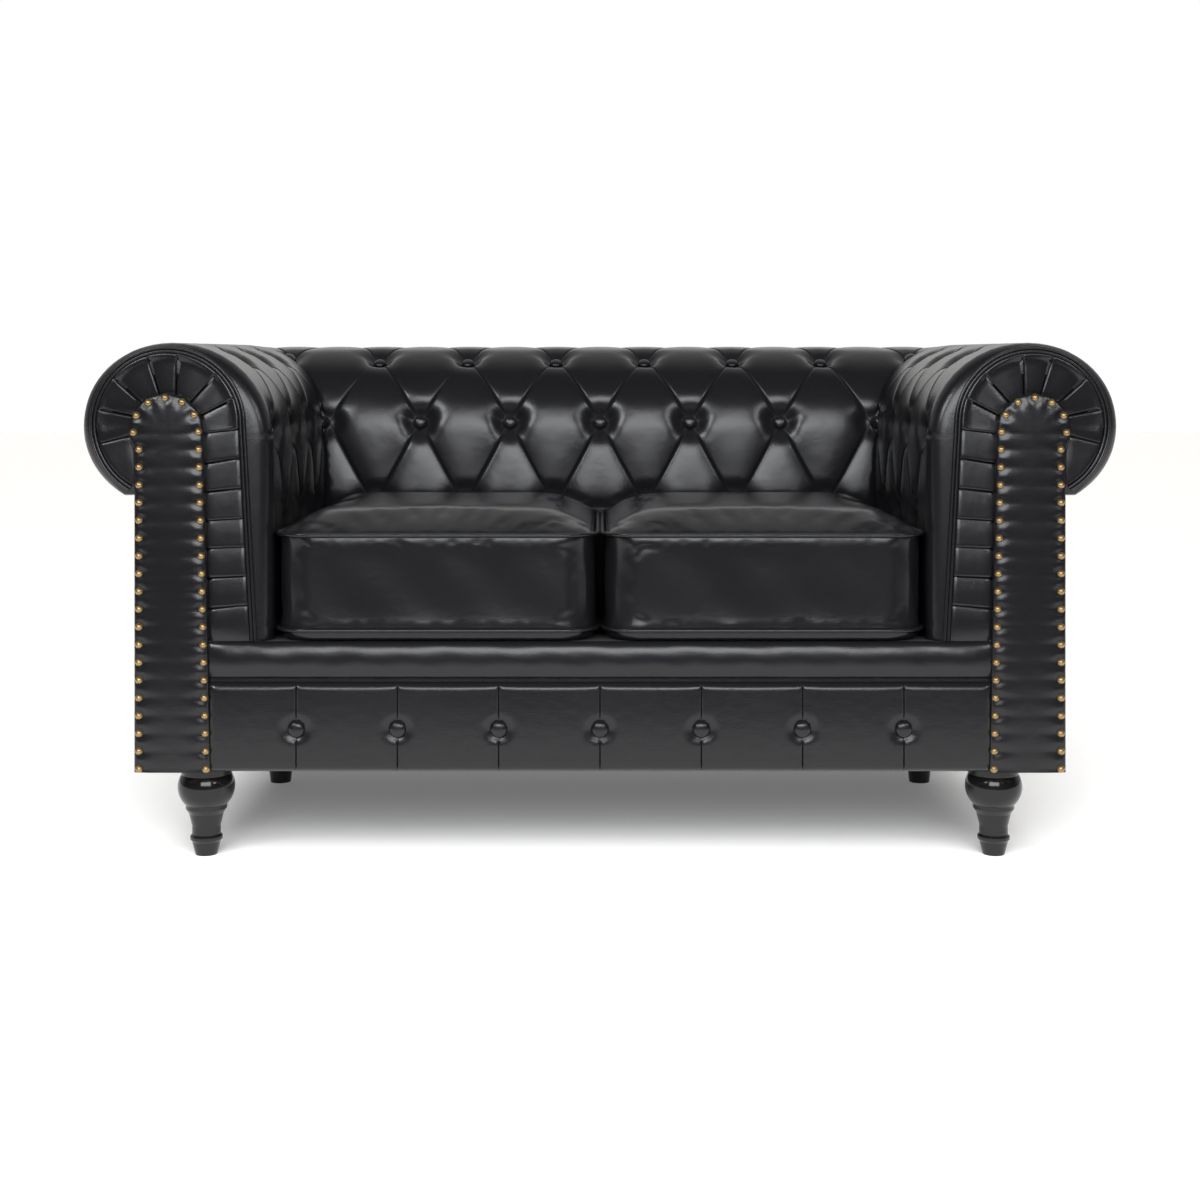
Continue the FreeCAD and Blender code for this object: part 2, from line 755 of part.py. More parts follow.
for word, low, high in (
    ("left", "0 - outer_rail_half - rail_thickness", "0 - outer_rail_half"),
    ("right", "outer_rail_half", "outer_rail_half + rail_thickness"),
):
    box(word + "_base_rail", (low, high), ("rail_y", "back_y + rib_back"), ("frame_bottom", "base_rail_top"))
box("rear_base_rail", ("0 - outer_rail_half", "outer_rail_half"),
    ("back_y + rib_back - rail_thickness", "back_y + rib_back"), ("frame_bottom", "base_rail_top"))

FEET = (
    ("left_front", "0 - front_foot_place", "front_foot_y"),
    ("right_front", "0 + front_foot_place", "front_foot_y"),
    ("left_rear", "0 - rear_foot_place", "rear_foot_y"),
    ("right_rear", "0 + rear_foot_place", "rear_foot_y"),
)
blocks, block_bores, plates, plate_bores, bolts = [], [], [], [], []
for name, at_x, at_y in FEET:
    if name.startswith("left"):
        span = ("0 - outer_rail_half", "0 - inner_rail_half")
    else:
        span = ("inner_rail_half", "outer_rail_half")
    reach_y = (at_y + " - block_depth / 2", at_y + " + block_depth / 2")
    if "front" in name:
        reach_y = ("rail_y", at_y + " + block_depth / 2")
    blocks.append(box(name + "_block_plain", span, reach_y, ("frame_bottom", "block_top"), False))
    hole = ("frame_bottom - 1", "frame_bottom + bolt_in_block")
    block_bores.append(cylinder(name + "_block_bore", "bolt_radius", at_x, at_y, hole))
    plate_span = ("foot_top", "frame_bottom")
    plates.append(cylinder(name + "_plate_plain", "plate_radius", at_x, at_y, plate_span))
    plate_bores.append(cylinder(name + "_plate_bore", "bolt_radius", at_x, at_y, ("foot_top - 1", "frame_bottom + 1")))
    bolts.append(cylinder(name + "_bolt", "bolt_radius", at_x, at_y,
                          ("foot_top - bolt_in_foot", "frame_bottom + bolt_in_block")))

# Joining bolts pass through the seat side rails into the blocks and hold the arms on.
joining = []
for sign in (-1, 1):
    for at_y in (val.front_foot_y, val.rear_foot_y):
        start = Vector(sign * (val.inner_rail_half - val.rail_thickness), at_y, val.frame_bottom + val.block_height / 2)
        out = Vector(sign, 0, 0)
        shank = Part.makeCylinder(val.joining_bolt_radius, val.joining_bolt_length, start, out)
        head = Part.makeCylinder(2 * val.joining_bolt_radius, val.joining_bolt_radius, start, out * -1)
        joining.append(shank.fuse(head))
bolt_bores = [
    Part.makeCylinder(val.joining_bolt_radius, val.joining_bolt_length,
                      Vector(sign * (val.inner_rail_half - val.rail_thickness), at_y,
                             val.frame_bottom + val.block_height / 2), Vector(sign, 0, 0))
    for sign in (-1, 1) for at_y in (val.front_foot_y, val.rear_foot_y)
]
shaped("arm_joining_bolts", Part.makeCompound(joining))
joining_bores = shaped("joining_bores", Part.makeCompound(bolt_bores), False)
for word in ("left", "right"):
    cut(word + "_seat_side_rail", side_rails[word], joining_bores)
bores = compound("block_bores", block_bores + [joining_bores], False)
cut("foot_blocks", compound("foot_blocks_plain", blocks, False), bores)
cut("foot_plates", compound("foot_plates_plain", plates, False), compound("plate_bores", plate_bores, False))
compound("foot_bolts", bolts)


# Feet: gloss turned front feet with a ball, collar and small ring, and plain tapered rear feet.
def front_foot_curves():
    ball = val.front_foot_ball_radius
    neck = val.front_foot_neck_radius
    top = val.foot_top
    bore = val.bolt_radius
    floor = val.foot_top - val.bolt_in_foot
    points = [
        (0, 0), (val.front_foot_bottom_radius, 0), (neck, 19), (neck + 2.6, 22.5), (neck + 2.6, 26.5),
        (neck, 30), (neck, 42), (neck + 4.3, 60), (neck + 9, 67), (neck + 9, 71), (ball - 11, 73),
    ]
    curves = [line(points[k], points[k + 1]) for k in range(len(points) - 1)]
    start = Vector(ball - 11, 73, 0)
    middle = Vector(ball, 98, 0)
    end = Vector(ball - 5, 117, 0)
    curves.append(Part.Arc(start, middle, end))
    rest = [(ball - 5, 117), (ball - 5, top), (bore, top), (bore, floor), (0, floor), (0, 0)]
    return curves + [line(rest[k], rest[k + 1]) for k in range(len(rest) - 1)]


def rear_foot_curves():
    low, high = val.rear_foot_bottom_radius, val.rear_foot_top_radius
    top = val.foot_top
    bore = val.bolt_radius
    floor = val.foot_top - val.bolt_in_foot
    return polyline([(0, 0), (low, 0), (high, top), (bore, top), (bore, floor), (0, floor)])


for name, at_x, at_y in FEET:
    curves = front_foot_curves() if "front" in name else rear_foot_curves()
    keep(name + "_foot", turned_body(name + "_foot", curves, at_x, at_y))


# Scroll boards at the arm fronts, ribs behind them, and the rails that pass through the ribs.
def rib_at(name, side, place, depth, thickness, bottom, final):
    rise = val.scroll_rise if side == 0 else rise_at(place)
    shift = place if side <= 0 else place + getattr(val, thickness)
    return board_body(name, rib_outline(depth, rise, bottom), thickness, side_placement(side, shift), final)


for side, word in ((-1, "left"), (1, "right")):
    rib_at(word + "_arm_front_board", side, val.board_y, val.board_edge, "front_board_thickness",
           val.frame_bottom, True)
    sign = "0 - " if side < 0 else "0 + "
    middle = sign + "(inner_half + top_rail_reach)"
    rail = box(word + "_arm_top_rail", (middle + " - top_rail_width / 2", middle + " + top_rail_width / 2"),
               ("rail_y", "back_y + top_rail_reach - top_rail_width / 2"),
               ("top_rail_middle - top_rail_height / 2", "top_rail_middle + top_rail_height / 2"))
    ribs = []
    for number, place in enumerate((val.back_y - 330, val.back_y - 30)):
        ribs.append(rib_at("%s_rib_%d" % (word, number), side, place, val.rib_edge, "rib_thickness",
                           val.base_rail_top, False))
    cut(word + "_arm_ribs", compound(word + "_ribs_plain", ribs, False), rail)
rail = box("back_top_rail", ("0 - inner_half - top_rail_reach - top_rail_width / 2",
                             "inner_half + top_rail_reach + top_rail_width / 2"),
           ("back_y + top_rail_reach - top_rail_width / 2", "back_y + top_rail_reach + top_rail_width / 2"),
           ("top_rail_middle - top_rail_height / 2", "top_rail_middle + top_rail_height / 2"))
ribs = []
for number in range(6):
    place = (number - 2.5) * 2 * val.spring_pitch - val.rib_thickness / 2
    ribs.append(rib_at("back_rib_%d" % number, 0, place, val.rib_edge, "rib_thickness", val.base_rail_top, False))
notches = compound("back_rib_notches", [rail, nodes["rear_seat_rail"]], False)
cut("back_ribs", compound("back_ribs_plain", ribs, False), notches)

# Outside panels, tacked under the roll and along the base rails.
for word, low, high in (
    ("left", "0 - inner_half - outside_reach", "0 - inner_half - rib_back"),
    ("right", "inner_half + rib_back", "inner_half + outside_reach"),
):
    box(word + "_outside_arm_panel", (low, high), ("board_y", "back_y + rib_back"),
        ("frame_bottom", "outside_panel_top"))
box("outside_back_panel", ("0 - inner_half - outside_reach", "inner_half + outside_reach"),
    ("back_y + rib_back", "back_y + outside_reach"), ("frame_bottom", "outside_panel_top"))

# Facing, nailed panel and double piping at the arm fronts. The outlines are drawn in the
# same plane as the scroll profile.
def facing_outline(grow):
    """Outline of the facing, grown outwards; open at the bottom when it is used for piping."""
    centre = (val.facing_centre_reach, val.facing_centre_height)
    radius = val.facing_radius + grow
    inner_top = (centre[0] - radius, centre[1])
    inner_foot = (val.facing_foot_reach - grow, val.facing_bottom)
    outer_reach = val.outside_reach
    drop = math.degrees(math.acos(min(1.0, (outer_reach - centre[0] + grow) / radius)))
    curves = [line(inner_foot, inner_top), arc(centre, radius, 180, 60), arc(centre, radius, 60, -drop)]
    return curves, inner_foot, curves[-1].EndPoint


def facing_body(word, side):
    curves, foot, neck = facing_outline(0)
    curves.append(line((neck.x, neck.y), (neck.x, foot[1])))
    curves.append(line((neck.x, foot[1]), foot))
    shift = val.facing_y if side < 0 else val.facing_y + val.facing_thickness
    return board_body(word + "_facing_plain", curves, "facing_thickness", side_placement(side, shift), False)


# Pleats run from the nailed panel's edge out to the piping: (reach, height) pairs.
PLEATS = [
    ((200.5, 639), (244.7, 647)), ((187.9, 660), (218.2, 687)), ((159.6, 671), (172.1, 714)),
    ((135.0, 667), (133.8, 717)), ((112.3, 660), (82.1, 693)), ((97.1, 639), (51.9, 662)),
    ((200.5, 609), (232.7, 601)),
    ((93, 612), (45, 618)), ((92, 570), (43, 578)), ((91, 530), (41, 535)), ((90, 488), (39, 492)),
    ((89, 449), (37, 451)), ((88, 408), (35, 410)), ((88, 364), (33, 369)),
]


def pleat_cutters(side):
    tools = []
    for inner, outer in PLEATS:
        run = Vector(outer[0] - inner[0], outer[1] - inner[1], 0)
        across = Vector(-run.y, run.x, 0)
        across.normalize()
        half = val.pleat_depth
        start = Vector(inner[0], inner[1], 0)
        points = [start - across * half, start + across * half, start + Vector(0, 0, val.pleat_depth)]
        face = Part.Face(Part.makePolygon(points + [points[0]]))
        tool = face.extrude(run)
        if side < 0:
            tool.Placement = side_placement(side, val.facing_y)
        else:
            tool = tool.mirror(Vector(0, 0, 0), Vector(0, 0, 1))
            tool.Placement = side_placement(side, val.facing_y)
        tools.append(tool)
    return Part.makeCompound(tools)


def piping_path(grow):
    """Centre line of one cord: up the inside, over the roll and in to the neck."""
    curves = facing_outline(grow)[0]
    return Part.Wire([curve.toShape() for curve in curves])


def piping_shape(side):
    cords = []
    for number in (0, 1):
        grow = val.piping_radius + 0.15 + number * (2 * val.piping_radius + 0.2)
        path = piping_path(grow)
        first = path.Edges[0]
        start = first.valueAt(first.FirstParameter)
        direction = first.tangentAt(first.FirstParameter)
        ring = Part.Wire([Part.Circle(start, direction, val.piping_radius).toShape()])
        cord = path.makePipeShell([ring], True, False)
        cord.Placement = side_placement(side, val.board_y - val.piping_radius - 0.2)
        cords.append(cord)
    return Part.makeCompound(cords)


def panel_outline():
    """Arch over a column that narrows slightly on its outer side."""
    centre = (val.panel_arch_reach, val.panel_arch_height)
    radius = val.panel_arch_radius
    head = [arc(centre, radius, 180, 90), arc(centre, radius, 90, -28)]
    left, right = head[0].StartPoint, head[1].EndPoint
    knee = (val.panel_outer_reach, val.panel_arch_height - radius * 0.62)
    points = [
        (right.x, right.y), knee, (val.panel_outer_reach, val.frame_bottom),
        (val.panel_inner_reach, val.frame_bottom), (left.x, left.y),
    ]
    return head + [line(points[k], points[k + 1]) for k in range(len(points) - 1)]


def nail_places():
    """Evenly spaced places on a line inset from the panel's edge, from foot to foot."""
    inset = val.nail_inset
    centre = (val.panel_arch_reach, val.panel_arch_height)
    radius = val.panel_arch_radius - inset
    outer = val.panel_outer_reach - inset
    top = val.panel_arch_height - 26
    low = val.frame_bottom + 5
    curves = [
        line((val.panel_inner_reach + inset, low), (centre[0] - radius, centre[1])),
        arc(centre, radius, 180, 0),
        line((centre[0] + radius, centre[1]), (outer, top)),
        line((outer, top), (outer, low)),
    ]
    path = Part.Wire([curve.toShape() for curve in curves])
    count = int(val.nail_count)
    return path.discretize(Number=count)


def nail_shape(place, side):
    """Domed head on the panel with a short shank in it."""
    rise = val.nail_height
    bend = (val.nail_radius ** 2 + rise ** 2) / (2 * rise)
    out = Vector(0, 0, -1)
    block = Part.makeCylinder(val.nail_radius, rise, Vector(0, 0, 0), out)
    dome = Part.makeSphere(bend, Vector(0, 0, bend - rise)).common(block)
    shank = Part.makeCylinder(val.nail_shank_radius, val.nail_shank_length, Vector(0, 0, 0), Vector(0, 0, 1))
    nail = dome.fuse(shank)
    nail.translate(place)
    return nail


def arm_side_shape(shape, side, y):
    """Put a shape drawn with its front towards local -Z on an arm front."""
    if side > 0:
        shape = shape.mirror(Vector(0, 0, 0), Vector(0, 0, 1))
    shape.Placement = side_placement(side, y).multiply(shape.Placement)
    return shape


for side, word in ((-1, "left"), (1, "right")):
    pleats = shaped(word + "_pleat_lines", pleat_cutters(side), False)
    cut(word + "_arm_facing", facing_body(word, side), pleats)
    shaped(word + "_facing_piping", piping_shape(side))
    places = nail_places()
    holes = Part.makeCompound([
        Part.makeCylinder(val.nail_shank_radius, val.nail_shank_length, place, Vector(0, 0, 1))
        for place in places
    ])
    nails = Part.makeCompound([nail_shape(place, side) for place in places])
    shift = val.front_y if side < 0 else val.front_y + val.panel_thickness
    plain = board_body(word + "_panel_plain", panel_outline(), "panel_thickness",
                       side_placement(side, shift), False)
    cut(word + "_arm_front_panel", plain,
        shaped(word + "_nail_holes", arm_side_shape(holes, side, val.front_y), False))
    shaped(word + "_arm_nails", arm_side_shape(nails, side, val.front_y))


# Seat: serpentine springs on clips, a padded deck, the front roll and the buttoned apron.
def spring_path(x):
    """Zigzag of straight runs joined by half turns, from the front clip to the rear clip."""
    turns = int(val.spring_turns)
    first = val.board_y + val.rail_thickness / 2
    last = val.rear_seat_y + val.rail_thickness / 2
    pitch = (last - first) / turns
    half = val.spring_run / 2
    edges = []
    z = val.spring_plane
    for turn in range(turns + 1):
        y = first + turn * pitch
        sign = 1 if turn % 2 == 0 else -1
        edges.append(Part.LineSegment(Vector(x - sign * half, y, z), Vector(x + sign * half, y, z)).toShape())
        if turn < turns:
            bend = Vector(x + sign * (half + pitch / 2), y + pitch / 2, z)
            edges.append(Part.Arc(Vector(x + sign * half, y, z), bend, Vector(x + sign * half, y + pitch, z)).toShape())
    return Part.Wire(edges)


springs, clips = [], []
count = int(val.spring_count)
for number in range(count):
    x = (number - (count - 1) / 2) * val.spring_pitch
    path = spring_path(x)
    start = path.Edges[0].valueAt(path.Edges[0].FirstParameter)
    ring = Part.Wire([Part.Circle(start, Vector(1, 0, 0), val.spring_wire_radius).toShape()])
    springs.append(path.makePipeShell([ring], True, False))
    for y in (val.board_y + val.rail_thickness / 2, val.rear_seat_y + val.rail_thickness / 2):
        corner = Vector(x - val.clip_width / 2, y - val.clip_depth / 2, val.seat_rail_top)
        height = val.deck_bottom - val.clearance - val.seat_rail_top
        clip = Part.makeBox(val.clip_width, val.clip_depth, height, corner)
        bore = Part.makeCylinder(val.spring_wire_radius + 0.1, val.clip_width + 2,
                                 Vector(x - val.clip_width / 2 - 1, y, val.spring_plane), Vector(1, 0, 0))
        clips.append(clip.cut(bore))
shaped("seat_springs", Part.makeCompound(springs))
shaped("spring_clips", Part.makeCompound(clips))
box("seat_deck", ("0 - inner_rail_half", "inner_rail_half"),
    ("rail_y + clearance", "rear_seat_y - bent_board_thickness - clearance - clearance"),
    ("deck_bottom", "deck_top"))


def front_roll_shape():
    """Half-round roll along the front edge of the deck, with its ends drawn in."""
    half = val.panel_inner_half + 2.5
    top, low = val.front_roll_top, val.front_roll_top - val.front_roll_height
    back = val.board_y - 0.0
    middle = (top + low) / 2
    wires = []
    for x, share in ((-half, 0.55), (-half + 14, 0.9), (-half + 40, 1.0), (half - 40, 1.0),
                     (half - 14, 0.9), (half, 0.55)):
        front = back - val.front_roll_depth * share
        upper = middle + (top - middle) * (0.6 + 0.4 * share)
        lower = middle - (middle - low) * (0.6 + 0.4 * share)
        curves = [
            Part.Arc(Vector(x, back, upper), Vector(x, back + (front - back) * 0.82, middle + (upper - middle) * 0.72),
                     Vector(x, front, middle)),
            Part.Arc(Vector(x, front, middle), Vector(x, back + (front - back) * 0.82, middle - (middle - lower) * 0.72),
                     Vector(x, back, lower)),
            Part.LineSegment(Vector(x, back, lower), Vector(x, back, upper)),
        ]
        wires.append(Part.Wire([curve.toShape() for curve in curves]))
    return Part.makeLoft(wires, True, True)


shaped("seat_front_roll", front_roll_shape())


def apron_shape():
    """Padded strip with an upright seam and a dimple at each button."""
    half = val.panel_inner_half - 0.8
    low, high = val.frame_bottom, val.apron_top
    pitch = val.apron_button_pitch
    count = int(val.apron_button_count)
    centres = [(k - (count - 1) / 2) * pitch for k in range(count)]
    flat = val.apron_button_radius + 2

    def face_point(x, z):
        near = min(centres, key=lambda centre: abs(centre - x))
        seam = 3.5 * max(0.0, 1 - abs(x - near) / flat)
        away = max(abs(x - near), abs(z - val.apron_button_height))
        if away <= flat + 0.01:
            depth = 5.0
        else:
            depth = max(seam, 5.0 * max(0.0, 1 - (away - flat) / 16.0))
        edge = min(z - low, high - z, half - abs(x))
        depth = max(depth, 6.0 * max(0.0, 1 - edge / 12.0) ** 2)
        return Vector(x, val.board_y - val.apron_depth + depth, z)

    def back_point(x, z):
        return Vector(x, val.board_y, z)

    columns = [-half, -half + 4, -half + 12]
    for centre in centres:
        columns += [centre - pitch / 2 + 0.0, centre - flat - 16, centre - flat, centre,
                    centre + flat, centre + flat + 16]
    columns += [half - 12, half - 4, half]
    columns = sorted(x for x in set(columns) if -half <= x <= half)
    middle = val.apron_button_height
    rows = [low, low + 4, low + 12, middle - flat - 16, middle - flat, middle,
            middle + flat, middle + flat + 16, high - 12, high - 4, high]
    return quilted_solid(columns, sorted(rows), face_point, back_point, lambda x, z: True)


shaped("front_apron", apron_shape())
buttons = []
for number in range(int(val.apron_button_count)):
    x = (number - (val.apron_button_count - 1) / 2) * val.apron_button_pitch
    centre = Vector(x, val.board_y - val.apron_depth + 5.0 - val.clearance, val.apron_button_height)
    buttons.append(button_shape(val.apron_button_radius, val.button_height, centre, Vector(0, -1, 0)))
shaped("apron_buttons", Part.makeCompound(buttons))

# Dust cover: cloth under the frame, with a round cut-out at each foot plate.
cover_holes = [
    cylinder(name + "_cover_hole", "plate_radius + 12", at_x, at_y, ("foot_top - 1", "frame_bottom + 1"))
    for name, at_x, at_y in FEET
]
cover = box("dust_cover_plain", ("0 - outer_rail_half - rail_thickness + 8", "outer_rail_half + rail_thickness - 8"),
            ("board_y + 8", "back_y + rib_back - 8"),
            ("frame_bottom - dust_cover_thickness - 0.05", "frame_bottom - 0.05"), False)
cut("dust_cover", cover, compound("cover_holes", cover_holes, False))


# Seat cushions: boxed, with a crown, drawn-in sides and piping at both seams. Each has a
# leather cover around a foam core.
def cushion_outline(x_middle, half_x, half_y, y_middle, radius, z):
    """Rounded rectangle from lines and quarter arcs."""
    corners = [
        (x_middle + half_x - radius, y_middle + half_y - radius, 0),
        (x_middle - half_x + radius, y_middle + half_y - radius, 90),
        (x_middle - half_x + radius, y_middle - half_y + radius, 180),
        (x_middle + half_x - radius, y_middle - half_y + radius, 270),
    ]
    edges = []
    for number, (cx, cy, start) in enumerate(corners):
        bend = arc((cx, cy), radius, start, start + 90)
        nx, ny, angle = corners[(number + 1) % 4]
        entry = arc((nx, ny), radius, angle, angle + 90)
        edges.append(bend.toShape())
        edges.append(Part.LineSegment(bend.EndPoint, entry.StartPoint).toShape())
    wire = Part.Wire(edges)
    wire.translate(Vector(0, 0, z))
    return wire


def cushion_levels():
    """(height, inset) pairs from the underside to the crown."""
    seam = 2 * val.cushion_piping_radius + 0.4
    band = val.cushion_band_height
    draw = val.cushion_draw_in
    crown = val.cushion_crown
    return [
        (val.cushion_bottom, seam + 20), (val.cushion_bottom + 3, seam + 9),
        (val.lower_seam, seam),
        (val.lower_seam + band * 0.15, seam + draw * 0.7), (val.lower_seam + band * 0.5, seam + draw),
        (val.upper_seam - band * 0.15, seam + draw * 0.7), (val.upper_seam, seam),
        (val.upper_seam + crown * 0.34, seam + 16), (val.upper_seam + crown * 0.62, seam + 42),
        (val.upper_seam + crown * 0.86, seam + 80), (val.upper_seam + crown, seam + 124),
    ]


def cushion_frame(side):
    """Middle and half sizes of the widest outline."""
    low, high = val.clearance / 2, val.inner_half - val.clearance
    y_low, y_high = val.front_y, val.back_y - val.clearance
    middle = side * (low + high) / 2
    return middle, (high - low) / 2, (y_high - y_low) / 2, (y_low + y_high) / 2


def cushion_loft(side, shrink):
    middle, half_x, half_y, y_middle = cushion_frame(side)
    wires = []
    levels = cushion_levels()
    for number, (z, inset) in enumerate(levels):
        inset += shrink
        z += shrink if number == 0 else -shrink if number > 6 else 0
        if number == 1:
            z += shrink
        radius = val.cushion_corner_radius + 0.15 * inset
        wires.append(cushion_outline(middle, half_x - inset, half_y - inset, y_middle, radius, z))
    return Part.makeLoft(wires, True, True)


def cushion_piping(side):
    middle, half_x, half_y, y_middle = cushion_frame(side)
    rings = []
    inset = val.cushion_piping_radius + 0.1
    for z in (val.lower_seam, val.upper_seam):
        path = cushion_outline(middle, half_x - inset, half_y - inset, y_middle, val.cushion_corner_radius, z)
        first = path.Edges[0]
        start = first.valueAt(first.FirstParameter)
        direction = first.tangentAt(first.FirstParameter)
        ring = Part.Wire([Part.Circle(start, direction, val.cushion_piping_radius).toShape()])
        rings.append(path.makePipeShell([ring], True, False))
    return Part.makeCompound(rings)


for side, word in ((-1, "left"), (1, "right")):
    core = shaped(word + "_cushion_core", cushion_loft(side, val.cushion_cover_thickness))
    outer = shaped(word + "_cushion_outer", cushion_loft(side, 0.0), False)
    cut(word + "_cushion_cover", outer, core)
    shaped(word + "_cushion_piping", cushion_piping(side))

doc.recompute()

# every object must be sound before anything is written
for item in doc.Objects:
    if "Invalid" in item.State or "Error" in item.State:
        raise RuntimeError("failed: " + item.Name)
for name, item in sorted(nodes.items()):
    shape = item.Shape
    if shape.isNull() or not shape.isValid() or not shape.Solids:
        raise RuntimeError("bad shape: " + name)
    if len(name) >= 60:
        raise RuntimeError("long name: " + name)
os.makedirs("parts", exist_ok=True)
for name, item in sorted(nodes.items()):
    item.Shape.exportStep(os.path.join("parts", name + ".step"))
    print(name, len(item.Shape.Solids), round(item.Shape.Volume / 1000.0, 1), "cm3")
print(len(nodes), "sub-parts")
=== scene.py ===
import math

import bmesh
import bpy
import numpy as np
from mathutils import Matrix, Vector
from mathutils.bvhtree import BVHTree


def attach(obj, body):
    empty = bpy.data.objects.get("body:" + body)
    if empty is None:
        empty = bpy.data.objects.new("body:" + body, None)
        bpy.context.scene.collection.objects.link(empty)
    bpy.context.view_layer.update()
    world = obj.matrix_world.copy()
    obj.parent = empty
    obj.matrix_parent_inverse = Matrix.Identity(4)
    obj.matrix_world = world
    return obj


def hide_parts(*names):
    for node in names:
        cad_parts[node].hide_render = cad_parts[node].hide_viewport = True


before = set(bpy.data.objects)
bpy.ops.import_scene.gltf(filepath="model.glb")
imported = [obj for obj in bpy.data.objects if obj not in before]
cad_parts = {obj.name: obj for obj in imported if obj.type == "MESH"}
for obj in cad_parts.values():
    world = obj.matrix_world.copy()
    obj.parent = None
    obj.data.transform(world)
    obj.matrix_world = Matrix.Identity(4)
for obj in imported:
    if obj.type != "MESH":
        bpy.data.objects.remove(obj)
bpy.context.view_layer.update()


# Stage: a white floor that keeps the soft shadow, a surround that is white in the picture and dark
# beside and before the sofa, the lamps, and a level camera in front whose shift centres the sofa.
BACKDROP_WHITE = (1.0, 1.0, 1.0, 1.0)
SURROUND = 0.05
SKY_POWER = 4.1
SKY_TILT = math.radians(42)
FLOOR_LEVEL = -0.0002
FLOOR_GLOW = 0.13
FLOOR_HALF = 12.0
FLOOR_AHEAD = 1.42
CAMERA_PLACE = (0.0, -2.887, 0.681)
CAMERA_LENS = 53.1
CAMERA_SHIFT = -0.179


def new_material(name, **constants):
    """A material with a Principled shader and plain values on its sockets."""
    material = bpy.data.materials.new(name)
    material.use_nodes = True
    shader = material.node_tree.nodes["Principled BSDF"]
    for socket, value in constants.items():
        shader.inputs[socket.replace("_", " ")].default_value = value
    return material


def finish_mesh(bm, name, material, body, nodes, smooth_angle=45):
    """Make a shown piece of a bmesh: outward normals, shading, material and its place in the frame."""
    bmesh.ops.remove_doubles(bm, verts=bm.verts, dist=1e-6)
    bmesh.ops.recalc_face_normals(bm, faces=bm.faces)
    mesh = bpy.data.meshes.new(name)
    bm.to_mesh(mesh)
    bm.free()
    mesh.shade_smooth()
    mesh.set_sharp_from_angle(angle=math.radians(smooth_angle))
    piece = bpy.data.objects.new(name, mesh)
    bpy.context.scene.collection.objects.link(piece)
    mesh.materials.append(material)
    if body:
        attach(piece, body)
        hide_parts(*nodes)
    return piece


floor_mesh = bmesh.new()
bmesh.ops.create_grid(floor_mesh, x_segments=1, y_segments=1, size=FLOOR_HALF,
                      matrix=Matrix.Translation((0, FLOOR_HALF - FLOOR_AHEAD, FLOOR_LEVEL)))
floor_white = new_material("floor_white", Base_Color=(0.9, 0.9, 0.9, 1), Roughness=0.9,
                           Emission_Strength=FLOOR_GLOW, Emission_Color=(1, 1, 1, 1))
finish_mesh(floor_mesh, "floor", floor_white, None, ())

world = bpy.data.worlds.new("surround")
bpy.context.scene.world = world
world.use_nodes = True
tree = world.node_tree
rays = tree.nodes.new("ShaderNodeLightPath")
direction = tree.nodes.new("ShaderNodeTexCoord")
parts = tree.nodes.new("ShaderNodeSeparateXYZ")
behind = tree.nodes.new("ShaderNodeMapRange")
behind.inputs["From Min"].default_value = -0.1
behind.inputs["From Max"].default_value = 0.35
behind.inputs["To Max"].default_value = 0.55
mirrored = tree.nodes.new("ShaderNodeMath")
mirrored.operation = "MAXIMUM"
backdrop_part = tree.nodes.new("ShaderNodeMath")
backdrop_part.operation = "MULTIPLY"
seen = tree.nodes.new("ShaderNodeMath")
seen.operation = "MAXIMUM"
shade = tree.nodes.new("ShaderNodeMix")
shade.data_type = "RGBA"
shade.inputs[6].default_value = (SURROUND, SURROUND, SURROUND, 1)
shade.inputs[7].default_value = BACKDROP_WHITE
tree.links.new(direction.outputs["Generated"], parts.inputs["Vector"])
tree.links.new(parts.outputs["Y"], behind.inputs["Value"])
tree.links.new(rays.outputs["Is Glossy Ray"], mirrored.inputs[0])
tree.links.new(rays.outputs["Is Transmission Ray"], mirrored.inputs[1])
tree.links.new(mirrored.outputs["Value"], backdrop_part.inputs[0])
tree.links.new(behind.outputs["Result"], backdrop_part.inputs[1])
tree.links.new(backdrop_part.outputs["Value"], seen.inputs[0])
tree.links.new(rays.outputs["Is Camera Ray"], seen.inputs[1])
tree.links.new(seen.outputs["Value"], shade.inputs[0])
tree.links.new(shade.outputs[2], tree.nodes["Background"].inputs["Color"])


def area_lamp(name, place, aim, width, height, power, colour=(1, 1, 1)):
    """A soft box that faces a point."""
    lamp = bpy.data.lights.new(name, "AREA")
    lamp.shape = "RECTANGLE"
    lamp.size = width
    lamp.size_y = height
    lamp.energy = power
    lamp.color = colour
    holder = bpy.data.objects.new(name, lamp)
    bpy.context.scene.collection.objects.link(holder)
    holder.location = place
    holder.rotation_euler = (Vector(aim) - Vector(place)).to_track_quat("-Z", "Y").to_euler()
    return holder


